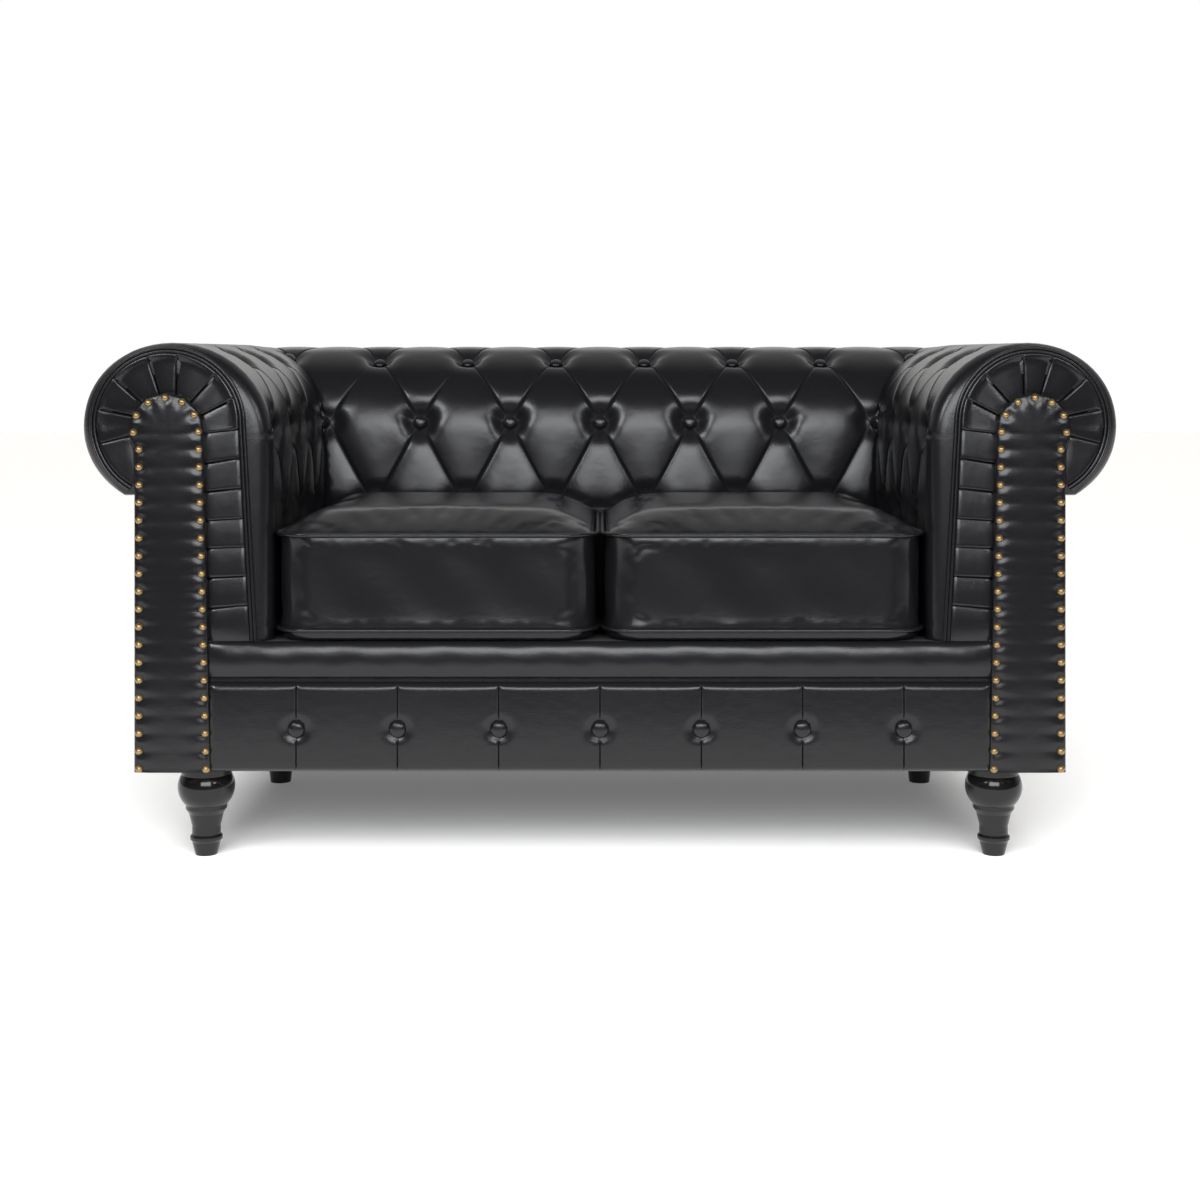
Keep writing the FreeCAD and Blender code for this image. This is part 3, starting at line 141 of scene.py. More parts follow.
sky = bpy.data.lights.new("wide_top_light", "SUN")
sky.energy = SKY_POWER
sky.angle = math.radians(55)
sky.color = (1.0, 0.985, 0.96)
sky_holder = bpy.data.objects.new("wide_top_light", sky)
sky_holder.visible_glossy = False
sky_holder.rotation_euler = (SKY_TILT, 0, 0)
bpy.context.scene.collection.objects.link(sky_holder)
area_lamp("rear_box", (0.0, 2.6, 1.9), (0, 0.2, 0.7), 3.6, 1.0, 6, (1.0, 0.97, 0.93))
area_lamp("front_box", (0.0, -3.3, 1.42), (0, 0, 0.55), 2.3, 1.1, 74, (0.96, 0.98, 1.0))
area_lamp("left_box", (-1.9, -2.6, 2.0), (-0.5, 0, 0.4), 0.7, 0.7, 34, (0.96, 0.98, 1.0))
area_lamp("right_box", (2.0, -2.6, 1.8), (0.5, 0, 0.4), 0.7, 0.7, 18, (0.96, 0.98, 1.0))

camera = bpy.data.objects.new("camera", bpy.data.cameras.new("camera"))
bpy.context.scene.collection.objects.link(camera)
camera.location = CAMERA_PLACE
camera.rotation_euler = (math.radians(90), 0, 0)
camera.data.lens = CAMERA_LENS
camera.data.sensor_width = 36.0
camera.data.shift_y = CAMERA_SHIFT
camera.data.dof.use_dof = False
bpy.context.scene.camera = camera
bpy.context.scene.view_settings.view_transform = "Standard"


# Tufted pads of the back and the arms: black grained leather drawn over foam on the scrolled frame,
# pulled in by rows of covered buttons. Folds run from button to button, straight down to the seat
# and straight over the back of the roll. The pads meet in a mitre at each corner.
PAD_FLOOR = 0.318
STRAIGHT = 0.280
INNER_ROLL = 0.1435
OUTER_ROLL = 0.120
TUCK_ROLL = 0.100
TUCK_ANGLE = math.radians(70)
ROLL_RISE = 0.0085
BOARD_Y = -0.37525
BACK_Y = 0.12825
INNER_HALF = 0.4665
PAD_THICKNESS = 0.033
ROW_PITCH = 0.1395
MIDDLE_ROW = STRAIGHT + 0.0115
BACK_PITCH = 0.154
ARM_PITCH = 0.145
LOWEST_ROW = -MIDDLE_ROW / ROW_PITCH
NECK_ROLL = 0.006
NECK_DROP = 0.016
TUCK_LENGTH = STRAIGHT + (INNER_ROLL + OUTER_ROLL) * math.pi / 2 + TUCK_ROLL * TUCK_ANGLE
PAD_LENGTH = TUCK_LENGTH + NECK_ROLL * TUCK_ANGLE + NECK_DROP
HIGHEST_ROW = (PAD_LENGTH - MIDDLE_ROW) / ROW_PITCH
FOLD_DEPTH = 0.0045
FOLD_GROOVE = 0.0032
FOLD_WIDTH = 0.0011
BUTTON_DEPTH = 0.018
CORNER_SUNK = 0.010
CORNER_WIDTH = 0.017
DIMPLE_ABOVE = 0.024
DIMPLE_BELOW = 0.018
DIMPLE_FLOOR = 0.006
BUTTON_RADIUS = 0.011
FRONT_ROUND = 0.025
OUTER_FULL = 0.009
RECLINE = 0.0068
LEAN_FOOT = 0.170
LEAN_LENGTH = 0.13
FRONT_LAP = 0.044
FOLD_STEPS = 24
GRAIN_SIZE = 640.0


def scroll_point(along, lift):
    """Reach, height and outward normal of the pad's face at a length along it."""
    if along > TUCK_LENGTH + 1e-9:
        reach, height, cosine, sine = scroll_point(TUCK_LENGTH, lift)
        middle = (reach + NECK_ROLL * cosine, height + NECK_ROLL * sine)
        angle = math.pi - TUCK_ANGLE + min((along - TUCK_LENGTH) / NECK_ROLL, TUCK_ANGLE)
        drop = max(along - TUCK_LENGTH - NECK_ROLL * TUCK_ANGLE, 0.0)
        return (middle[0] + NECK_ROLL * math.cos(angle), middle[1] + NECK_ROLL * math.sin(angle) - drop,
                -math.cos(angle), -math.sin(angle))
    if along <= STRAIGHT:
        return 0.0, PAD_FLOOR + along + lift * max(along, 0.0) / STRAIGHT, -1.0, 0.0
    along -= STRAIGHT
    low = PAD_FLOOR + STRAIGHT + lift
    high = low + INNER_ROLL - OUTER_ROLL
    if along <= INNER_ROLL * math.pi / 2:
        centre, level, radius, angle = INNER_ROLL, low, INNER_ROLL, math.pi - along / INNER_ROLL
    elif along <= (INNER_ROLL + OUTER_ROLL) * math.pi / 2:
        along -= INNER_ROLL * math.pi / 2
        centre, level, radius, angle = INNER_ROLL, high, OUTER_ROLL, math.pi / 2 - along / OUTER_ROLL
    else:
        along -= (INNER_ROLL + OUTER_ROLL) * math.pi / 2
        centre = INNER_ROLL + OUTER_ROLL - TUCK_ROLL
        level, radius, angle = high, TUCK_ROLL, -along / TUCK_ROLL
    reach = centre + radius * math.cos(angle)
    return reach, level + radius * math.sin(angle), math.cos(angle), math.sin(angle)


def lift_at(y):
    """The scroll rises a little from the arm fronts to the back."""
    return ROLL_RISE * min(max((y - BOARD_Y) / (BACK_Y - BOARD_Y), 0.0), 1.0)


def stage_step(low, high, value):
    """Smooth step from 0 to 1."""
    share = np.clip((value - low) / (high - low), 0, 1)
    return share * share * (3 - 2 * share)


def crowded(first, last, steps):
    """Stations in whole units, closer together at whole numbers where the folds lie."""
    share = np.linspace(0, 1, steps + 1)[:-1]
    unit = share - 0.8 * np.sin(2 * np.pi * share) / (2 * np.pi)
    stations = [whole + unit for whole in range(first, last)]
    return np.append(np.concatenate(stations), last)


def add_patch(bm, columns, rows, place):
    """A grid through the given stations; place turns a station pair into a point."""
    made = bmesh.ops.create_grid(bm, x_segments=len(columns) - 1, y_segments=len(rows) - 1,
                                 size=1.0)["verts"]
    for vert in made:
        column = round((vert.co.x + 1) / 2 * (len(columns) - 1))
        row = round((vert.co.y + 1) / 2 * (len(rows) - 1))
        vert.co = place(columns[column], rows[row])
    return made


def clip(bm, point, normal):
    """Cut away what lies beyond a plane and return the cut edges."""
    made = bmesh.ops.bisect_plane(bm, geom=bm.verts[:] + bm.edges[:] + bm.faces[:], dist=1e-6,
                                  plane_co=point, plane_no=normal, clear_outer=True)
    return [item for item in made["geom_cut"] if isinstance(item, bmesh.types.BMEdge)]


def quilt_sheet(low, high, front=None):
    """The quilted face laid flat: x in half pitches, y in rows from the middle row."""
    bm = bmesh.new()
    first, last = math.floor((low - 1) / 2) - 1, math.ceil((high + 2) / 2) + 1
    units = crowded(first, last, FOLD_STEPS)
    end = high if front is None else front
    add_patch(bm, units, crowded(math.floor((low - 2) / 2) - 1, math.ceil((high + 1) / 2) + 1, FOLD_STEPS),
              lambda a, b: Vector((a + b, a - b, 0)))
    clip(bm, (0, -1, 0), (0, -1, 0))
    clip(bm, (0, 2, 0), (0, 1, 0))
    lower = LOWEST_ROW + (-1 - LOWEST_ROW) * (1 - np.linspace(1, 0, 15) ** 1.5)
    tuck_row = (TUCK_LENGTH - MIDDLE_ROW) / ROW_PITCH
    upper = np.concatenate([np.linspace(2, tuck_row, 27), np.linspace(tuck_row, HIGHEST_ROW, 9)[1:]])
    add_patch(bm, 2 * units + 1, lower, lambda p, q: Vector((p, q, 0)))
    add_patch(bm, 2 * units - 2, upper, lambda p, q: Vector((p, q, 0)))
    clip(bm, (low, 0, 0), (-1, 0, 0))
    clip(bm, (end, 0, 0), (1, 0, 0))
    if front is not None:
        middle = 2 * crowded(2, 4, FOLD_STEPS) - 6
        rows = np.concatenate([lower[:-1], middle[middle > -1.0001], upper[1:]])
        bend = high - FRONT_ROUND / (ARM_PITCH / 2)
        turn = np.linspace(0, math.pi / 2, 10)
        columns = np.concatenate([np.linspace(front, bend, 9)[:-1], bend + (high - bend) * np.sin(turn)])
        add_patch(bm, columns, rows, lambda p, q: Vector((p, q, 0)))
    bmesh.ops.remove_doubles(bm, verts=bm.verts, dist=1e-4)
    return bm


def fold_depth(half, up, pitch, rows=(-1, 1), front=None):
    """Depth of the face below its fullest line, and how near a fold is, from 1 on it to 0.

    The folds are diagonal between the rows of buttons and upright past them. Those that lean one way
    fade midway over the roll, where the pillows also lie flatter. Each button pulls in a dimple.
    """
    level = np.clip(up, -1, 2)
    column = half if front is None else np.minimum(half, front)
    edge = math.hypot(pitch / 2, ROW_PITCH)
    apart = pitch * ROW_PITCH / edge
    one, other = (column + level) / 2, (column - level) / 2
    near_one = np.abs(one - np.round(one)) * 2
    near_other = np.abs(other - np.round(other)) * 2
    faded = np.where(half < -2.5, 0.95, 0.3) if front is None else 0.3
    whole = 1 - faded * stage_step(0.25, 0.7, level) * (1 - stage_step(0.95, 1.05, level))
    if front is None:
        flatter = 1 - 0.45 * stage_step(0.2, 1.0, up)
    else:
        flatter = 1 - 0.85 * stage_step(-0.3, 1.0, up)
    soft_one = (1 - near_one) ** 3.6
    soft_other = (1 - near_other) ** 3.6 * whole
    hollow = FOLD_DEPTH * (soft_one + soft_other - soft_one * soft_other) * flatter
    line_one = np.exp(-near_one * apart / 2 / FOLD_WIDTH)
    line_other = np.exp(-near_other * apart / 2 / FOLD_WIDTH) * whole
    line = np.maximum(line_one, line_other)
    row = np.clip(np.round(up), rows[0], rows[1])
    place = 2 * np.round((half - row % 2) / 2) + row % 2
    if front is not None:
        place = np.minimum(place, front - (row % 2))
    sideways = (half - place) * pitch / 2
    upwards = (up - row) * ROW_PITCH
    away = np.hypot(sideways, upwards)
    corner = np.abs(place) > 5.5 if front is None else place < 0.5
    width = np.where(corner, CORNER_WIDTH, np.where(upwards > 0, DIMPLE_ABOVE, DIMPLE_BELOW))
    sunk = np.where(corner, CORNER_SUNK, BUTTON_DEPTH)
    fall = np.exp(-(np.maximum(away - DIMPLE_FLOOR, 0) / width) ** 2)
    turn = np.arctan2(upwards, sideways)
    pucker = 0.0003 * np.sin(7 * turn + 3 * place + row) * np.exp(-np.abs(away - 0.020) / 0.008)
    hollow = hollow + FOLD_GROOVE * line
    if front is not None:
        ahead = np.clip((half - front) / 0.9, 0, 1)
        hollow = np.where(half > front, hollow * (1 - ahead) ** 2, hollow)
        seam = np.exp(-np.abs(up) * ROW_PITCH / 0.0022)
        hollow = np.where(half > front, np.maximum(hollow, 0.0035 * seam * (1 - 0.5 * ahead)), hollow)
        line = np.where(half > front, seam * (1 - 0.6 * ahead), line)
    depth = np.maximum(hollow, 0) + (sunk - np.minimum(hollow, sunk)) * fall + pucker
    return depth, line


def shape_pad(bm, place, depths, lap_at=None):
    """Give the flat sheet its thickness, wrap it round the scroll and press in the folds."""
    bmesh.ops.recalc_face_normals(bm, faces=bm.faces)
    grown = bmesh.ops.extrude_face_region(bm, geom=bm.faces[:])["geom"]
    for item in grown:
        if isinstance(item, bmesh.types.BMVert):
            item.co.z = -PAD_THICKNESS
    # The fold mark stored here drives painted shade in the leather: its colour is darkened along the folds.
    mark = bm.verts.layers.float.new("fold")
    flat = np.array([vert.co[:] for vert in bm.verts])
    depth, near = depths(flat[:, 0], flat[:, 1])
    for vert, deep, fold in zip(bm.verts, depth, near):
        top = vert.co.z > -PAD_THICKNESS / 2
        vert[mark] = float(fold) if top else 0.0
        at_front = lap_at is not None and abs(vert.co.x - lap_at) < 1e-4
        back = -FRONT_LAP if at_front else -PAD_THICKNESS
        vert.co = place(vert.co.x, MIDDLE_ROW + vert.co.y * ROW_PITCH, -deep if top else back)
        if at_front:
            vert.co.y -= 0.0008
    return bm


def fill_cut(bm, edges):
    """Close a cut with flat faces."""
    bmesh.ops.holes_fill(bm, edges=[edge for edge in edges if edge.is_valid], sides=0)


def back_place(half, along, out):
    """Where a point of the back's flat sheet comes to lie; the face leans back from the cushions up."""
    lean = min(max(1 - (along - LEAN_FOOT) / LEAN_LENGTH, 0.0), 1.0)
    out += RECLINE * float(stage_step(LEAN_FOOT - 0.018, LEAN_FOOT, along)) * lean
    reach, height, normal_out, normal_up = scroll_point(along, ROLL_RISE)
    return Vector((half * BACK_PITCH / 2, BACK_Y + reach + normal_out * out, height + normal_up * out))


def arm_place(side):
    """The same for an arm, which is a little fuller over the outside of its roll."""
    def place(half, along, out):
        y = BACK_Y - half * ARM_PITCH / 2
        fade = 1 - stage_step(TUCK_LENGTH - 0.01, TUCK_LENGTH + 0.01, along)
        out += OUTER_FULL * float(stage_step(0.50, 0.66, along) * fade)
        reach, height, normal_out, normal_up = scroll_point(along, lift_at(y))
        return Vector((side * (INNER_HALF + reach + normal_out * out), y, height + normal_up * out))
    return place


def leather_group():
    """Fine pebbled grain, a soft sheen that varies from place to place, and painted shade darkening the
    marked folds.
    """
    group = bpy.data.node_groups.new("leather_grain", "ShaderNodeTree")
    group.interface.new_socket("Fold", in_out="INPUT", socket_type="NodeSocketFloat")
    group.interface.new_socket("Color", in_out="OUTPUT", socket_type="NodeSocketColor")
    group.interface.new_socket("Roughness", in_out="OUTPUT", socket_type="NodeSocketFloat")
    group.interface.new_socket("Normal", in_out="OUTPUT", socket_type="NodeSocketVector")
    nodes, links = group.nodes, group.links
    entry = nodes.new("NodeGroupInput")
    leave = nodes.new("NodeGroupOutput")
    coordinates = nodes.new("ShaderNodeTexCoord")
    cells = nodes.new("ShaderNodeTexVoronoi")
    cells.inputs["Scale"].default_value = GRAIN_SIZE
    clouds = nodes.new("ShaderNodeTexNoise")
    clouds.inputs["Scale"].default_value = 9.0
    clouds.inputs["Detail"].default_value = 3.0
    creases = nodes.new("ShaderNodeTexNoise")
    creases.inputs["Scale"].default_value = 60.0
    creases.inputs["Detail"].default_value = 5.0
    for texture in (cells, clouds, creases):
        links.new(coordinates.outputs["Object"], texture.inputs["Vector"])
    fine = nodes.new("ShaderNodeBump")
    fine.inputs["Strength"].default_value = 0.22
    fine.inputs["Distance"].default_value = 0.0003
    links.new(cells.outputs["Distance"], fine.inputs["Height"])
    broad = nodes.new("ShaderNodeBump")
    broad.inputs["Strength"].default_value = 0.25
    broad.inputs["Distance"].default_value = 0.0012
    links.new(creases.outputs["Fac"], broad.inputs["Height"])
    links.new(fine.outputs["Normal"], broad.inputs["Normal"])
    links.new(broad.outputs["Normal"], leave.inputs["Normal"])
    rough = nodes.new("ShaderNodeMapRange")
    rough.inputs["To Min"].default_value = 0.21
    rough.inputs["To Max"].default_value = 0.29
    links.new(clouds.outputs["Fac"], rough.inputs["Value"])
    dull = nodes.new("ShaderNodeMath")
    dull.operation = "MULTIPLY_ADD"
    dull.inputs[1].default_value = 0.6
    links.new(entry.outputs["Fold"], dull.inputs[0])
    links.new(rough.outputs["Result"], dull.inputs[2])
    links.new(dull.outputs["Value"], leave.inputs["Roughness"])
    # Painted shade: where the fold mark rises, the colour darkens to the second value so the creases read
    # dark.
    fold_shade_tone = nodes.new("ShaderNodeMix")
    fold_shade_tone.data_type = "RGBA"
    fold_shade_tone.inputs[6].default_value = (0.0052, 0.0051, 0.0061, 1)
    fold_shade_tone.inputs[7].default_value = (0.0025, 0.0025, 0.0028, 1)
    links.new(entry.outputs["Fold"], fold_shade_tone.inputs[0])
    links.new(fold_shade_tone.outputs[2], leave.inputs["Color"])
    return group


LEATHER_GROUP = leather_group()


def leather_material(name, has_folds):
    """Black leather; where a mesh marks its folds, they are duller, and darker by painted shade in the
    creases.
    """
    material = new_material(name)
    nodes, links = material.node_tree.nodes, material.node_tree.links
    shader = nodes["Principled BSDF"]
    shader.inputs["Specular IOR Level"].default_value = 0.38
    grain = nodes.new("ShaderNodeGroup")
    grain.node_tree = LEATHER_GROUP
    if has_folds:
        fold = nodes.new("ShaderNodeAttribute")
        fold.attribute_name = "fold"
        links.new(fold.outputs["Fac"], grain.inputs["Fold"])
    links.new(grain.outputs["Color"], shader.inputs["Base Color"])
    links.new(grain.outputs["Roughness"], shader.inputs["Roughness"])
    links.new(grain.outputs["Normal"], shader.inputs["Normal"])
    return material


# Leather for the tufted pads, whose marked folds get painted shade in their colour.
fold_shaded_leather = leather_material("black_leather_fold_shaded", True)
leather = leather_material("black_leather", False)


def leather_piece(bm, name, nodes, smooth_angle=45, material=leather, body="frame"):
    """Finish a piece in black leather."""
    piece = finish_mesh(bm, name, material, body, nodes, smooth_angle)
    return piece



reach_half = (INNER_HALF + INNER_ROLL + OUTER_ROLL) / (BACK_PITCH / 2)
back_sheet = quilt_sheet(-reach_half, reach_half)
shape_pad(back_sheet, back_place, lambda half, up: fold_depth(half, up, BACK_PITCH))
for side in (-1, 1):
    fill_cut(back_sheet, clip(back_sheet, (side * INNER_HALF, BACK_Y + 0.0002, 0), (side, -1, 0)))
leather_piece(back_sheet, "back_pad", ["back_tufted_pad"], 60, fold_shaded_leather)

ARM_FRONT_BUTTON = 6
arm_low = -(INNER_ROLL + OUTER_ROLL) / (ARM_PITCH / 2)
arm_high = (BACK_Y - BOARD_Y) / (ARM_PITCH / 2)


def arm_depths(half, up):
    """The folds of an arm pad, and how its front edge turns in to the facing."""
    depth, near = fold_depth(half, up, ARM_PITCH, front=ARM_FRONT_BUTTON)
    from_front = (arm_high - half) * ARM_PITCH / 2
    inside = np.clip(FRONT_ROUND - from_front, 0, FRONT_ROUND)
    turned = FRONT_ROUND - np.sqrt(FRONT_ROUND ** 2 - inside ** 2)
    tuck_row = (TUCK_LENGTH - MIDDLE_ROW) / ROW_PITCH
    turned = turned * (1 - 0.85 * stage_step(tuck_row - 0.45, tuck_row, up))
    return np.maximum(depth * np.clip(from_front / 0.01, 0, 1), 0) + turned, near


for side, word in ((-1, "left"), (1, "right")):
    sheet = quilt_sheet(arm_low, arm_high, ARM_FRONT_BUTTON)
    shape_pad(sheet, arm_place(side), arm_depths, arm_high)
    fill_cut(sheet, clip(sheet, (side * INNER_HALF, BACK_Y - 0.0002, 0), (-side, 1, 0)))
    leather_piece(sheet, word + "_arm_pad", [word + "_arm_tufted_pad"], 60, fold_shaded_leather)


# Covered buttons: small leather-covered domes tied through the pads, one in each dimple. The corner
# buttons sit on the mitres and belong to the back.
BUTTON_HEIGHT = 0.006
BUTTON_PROUD = 0.0035
CORNER_DEPTH = 0.005


def add_dome(bm, radius, height, centre, normal, sides=18, rings=12):
    """A domed disc whose lower half is sunk in what it sits on."""
    turn = Vector(normal).to_track_quat("Z", "Y").to_matrix().to_4x4()
    made = bmesh.ops.create_uvsphere(bm, u_segments=sides, v_segments=rings, radius=1.0)["verts"]
    for vert in made:
        flat = min(math.hypot(vert.co.x, vert.co.y), 1.0)
        swell = (1 - flat ** 2.5) ** (1 / 2.5)
        level = math.copysign(swell, vert.co.z) * height
        vert.co = Vector(centre) + turn @ Vector((vert.co.x * radius, vert.co.y * radius, level))


def dome_on(bm, place, half, row):
    """A button in its dimple, square to the face there."""
    along = MIDDLE_ROW + row * ROW_PITCH
    seat = place(half, along, BUTTON_PROUD - BUTTON_DEPTH)
    add_dome(bm, BUTTON_RADIUS, BUTTON_HEIGHT, seat, place(half, along, 0) - seat)


buttons = bmesh.new()
for row, columns in ((-1, (-5, -3, -1, 1, 3, 5)), (0, (-4, -2, 0, 2, 4)), (1, (-5, -3, -1, 1, 3, 5))):
    for column in columns:
        dome_on(buttons, back_place, column, row)
for side in (-1, 1):
    for row in (0, 1):
        reach, height, normal_out, normal_up = scroll_point(MIDDLE_ROW + row * ROW_PITCH, ROLL_RISE)
        corner = Vector((side * (INNER_HALF + reach), BACK_Y + reach, height))
        normal = Vector((side * normal_out, normal_out, normal_up))
        add_dome(buttons, BUTTON_RADIUS, BUTTON_HEIGHT, corner - normal.normalized() * CORNER_DEPTH, normal)
leather_piece(buttons, "back_covered_buttons", ["back_buttons"])

for side, word in ((-1, "left"), (1, "right")):
    buttons = bmesh.new()
    for row, columns in ((-1, (1, 3, 5)), (0, (2, 4, 6)), (1, (1, 3, 5))):
        for column in columns:
            dome_on(buttons, arm_place(side), column, row)
    leather_piece(buttons, word + "_arm_covered_buttons", [word + "_arm_buttons"])


# Arm facings: leather pleated from the nailed panel out to the rim, puffed between the pleats, over a
# board. Two cords of leather piping run round the rim, up the inside, over the roll and in to the neck.
FACING_Y = -0.38125
FACING_MIDDLE = (0.1465, 0.626)
FACING_RADIUS = 0.101
FACING_FOOT = (0.029, 0.3182)
NECK_REACH = 0.1925
ARCH_MIDDLE = (0.1472, 0.617)
ARCH_RADIUS = 0.0527
PANEL_INNER = 0.0838
PANEL_OUTER = 0.1922
PANEL_LAP = 0.004
PLEAT_DEPTH = 0.0048
PLEAT_PUFF = 0.0024
CORD_RADIUS = 0.0024
# Each pleat from the panel out to the rim, as (reach, height) pairs.
PLEATS = (
    ((0.088, 0.364), (0.033, 0.369)), ((0.088, 0.408), (0.035, 0.410)),
    ((0.089, 0.449), (0.037, 0.451)), ((0.090, 0.488), (0.039, 0.492)),
    ((0.091, 0.530), (0.041, 0.535)), ((0.092, 0.570), (0.043, 0.578)),
    ((0.093, 0.612), (0.045, 0.618)), ((0.0971, 0.639), (0.0519, 0.662)),
    ((0.1123, 0.660), (0.0821, 0.693)), ((0.135, 0.667), (0.1338, 0.717)),
    ((0.1596, 0.671), (0.1721, 0.714)), ((0.1879, 0.660), (0.2182, 0.687)),
    ((0.2005, 0.639), (0.2447, 0.647)), ((0.2005, 0.609), (0.2327, 0.601)),
)


def line_points(start, end, step=0.001):
    """Evenly spaced points of a straight line."""
    count = max(2, int(math.dist(start, end) / step))
    return np.linspace(start, end, count)


def arc_points(middle, radius, start, end, step=0.001):
    """Evenly spaced points of an arc between two angles in degrees."""
    count = max(2, int(abs(math.radians(end - start)) * radius / step))
    angles = np.radians(np.linspace(start, end, count))
    return np.stack([middle[0] + radius * np.cos(angles), middle[1] + radius * np.sin(angles)], axis=1)


def rim_path(grow):
    """The facing's edge, grown outwards: up the inside, over the roll and in to the neck."""
    radius = FACING_RADIUS + grow
    drop = math.degrees(math.acos((NECK_REACH - FACING_MIDDLE[0] + grow) / radius))
    foot = (FACING_FOOT[0] - grow, FACING_FOOT[1])
    top = (FACING_MIDDLE[0] - radius, FACING_MIDDLE[1])
    return np.concatenate([line_points(foot, top), arc_points(FACING_MIDDLE, radius, 180, -drop)[1:]])


def panel_side_path():
    """The facing's inner edge, tucked under the nailed panel."""
    radius = ARCH_RADIUS - PANEL_LAP
    foot = (PANEL_INNER + PANEL_LAP, FACING_FOOT[1])
    top = (ARCH_MIDDLE[0] - radius, ARCH_MIDDLE[1])
    knee = (ARCH_MIDDLE[0] + radius, ARCH_MIDDLE[1])
    neck = (PANEL_OUTER - PANEL_LAP, rim_path(0)[-1][1])
    return np.concatenate([line_points(foot, top), arc_points(ARCH_MIDDLE, radius, 180, 0)[1:],
                           line_points(knee, neck)[1:]])


def nearest(path, point):
    """Number of the path's point that lies nearest."""
    return int(np.argmin(np.hypot(path[:, 0] - point[0], path[:, 1] - point[1])))


def at_share(path, first, last, share):
    """The point at a share of the way between two numbered points of a path."""
    return path[int(round(first + (last - first) * share))]


def thicken(bm, move):
    """Close a sheet into a solid by drawing its back through a move of each point."""
    grown = bmesh.ops.extrude_face_region(bm, geom=bm.faces[:])["geom"]
    for item in grown:
        if isinstance(item, bmesh.types.BMVert):
            item.co = move(item.co)


def add_tube(bm, path, radius, sides=12):
    """A round cord along a path of points in space; a path that ends where it starts closes."""
    path = [Vector(point) for point in path]
    count = len(path)
    closed = (path[0] - path[-1]).length < 1e-6
    frames = []
    for number, point in enumerate(path):
        before = path[number - 1 if number else (count - 2 if closed else 0)]
        after = path[number + 1 if number < count - 1 else (1 if closed else count - 1)]
        ahead = (after - before).normalized()
        across = ahead.cross(Vector((0, 1, 0)) if abs(ahead.y) < 0.9 else Vector((0, 0, 1))).normalized()
        frames.append((point, across, ahead.cross(across)))

    def place(station, turn):
        point, across, up = frames[int(station)]
        return point + radius * (across * math.cos(turn) + up * math.sin(turn))

    made = add_patch(bm, np.arange(count), np.linspace(0, 2 * math.pi, sides + 1), place)
    bmesh.ops.remove_doubles(bm, verts=made, dist=radius * 0.05)
    open_edges = [edge for edge in bm.edges if edge.is_boundary]
    if open_edges:
        bmesh.ops.holes_fill(bm, edges=open_edges, sides=sides)


def facing_mesh(side):
    """The pleated sheet between the nailed panel and the rim, pleat by pleat."""
    outer, inner = rim_path(0), panel_side_path()
    marks = [(0, 0)] + [(nearest(outer, rim), nearest(inner, root)) for root, rim in PLEATS]
    marks.append((len(outer) - 1, len(inner) - 1))
    bm = bmesh.new()
    across = np.array([0, 0.03, 0.08, 0.16, 0.28, 0.42, 0.56, 0.70, 0.80, 0.88, 0.94, 0.975, 1])
    for number in range(len(marks) - 1):
        (outer_a, inner_a), (outer_b, inner_b) = marks[number], marks[number + 1]
        length = max(abs(outer_b - outer_a), 12) * 0.001
        first, last = number == 0, number == len(marks) - 2

        def place(along, out):
            rim = at_share(outer, outer_a, outer_b, along)
            root = at_share(inner, inner_a, inner_b, along)
            point = root + (rim - root) * out
            head = point[1] > 0.62
            keep = 1 - (0.9 * float(stage_step(0.82, 1.0, out)) if head else 0.35 * out)
            past, ahead = along * length, (1 - along) * length
            proud = 0.0 if first else (1 - math.exp(-past / 0.0010)) * math.exp(-past / 0.013)
            groove = 0.0 if last else 0.0014 * keep * math.exp(-ahead / 0.0010)
            depth = PLEAT_DEPTH * keep * (1 - proud) * (0.55 if first or last else 1.0)
            depth += groove
            depth += PLEAT_PUFF * keep * (2 * along - 1) ** 2
            depth += 0.0022 * max(0.0, 1 - (1 - out) * math.dist(rim, root) / 0.004) ** 2
            depth += 0.002 * max(0.0, 1 - out * math.dist(rim, root) / 0.008) ** 2
            return Vector((side * (INNER_HALF + point[0]), FACING_Y - 0.0012 + depth, point[1]))

        add_patch(bm, crowded(0, 1, 16), across, place)
    bmesh.ops.remove_doubles(bm, verts=bm.verts, dist=2e-5)
    thicken(bm, lambda point: Vector((point.x, BOARD_Y, point.z)))
    return bm


for side, word in ((-1, "left"), (1, "right")):
    leather_piece(facing_mesh(side), word + "_pleated_facing", [word + "_arm_facing"], 60)
    cords = bmesh.new()
    for number in (0, 1):
        path = rim_path(0.0001 + CORD_RADIUS * (1 + 2.05 * number))[::5]
        add_tube(cords, [(side * (INNER_HALF + reach), BOARD_Y - CORD_RADIUS - 0.0012, height)
                         for reach, height in path], CORD_RADIUS)
    leather_piece(cords, word + "_double_piping", [word + "_facing_piping"])


# Arm front panels: smooth leather over an arched board, held by a row of brass nails. The leather is
# drawn in at each nail and swells a little between them.
PANEL_FRONT = -0.38725
PANEL_ROUND = 0.0042
FRAME_BOTTOM = 0.134
NAIL_INSET = 0.0063
NAIL_OUTER = 0.1845
NAIL_COUNT = 45
NAIL_FOOT = FRAME_BOTTOM + 0.005
KNEE_DROP = 0.026


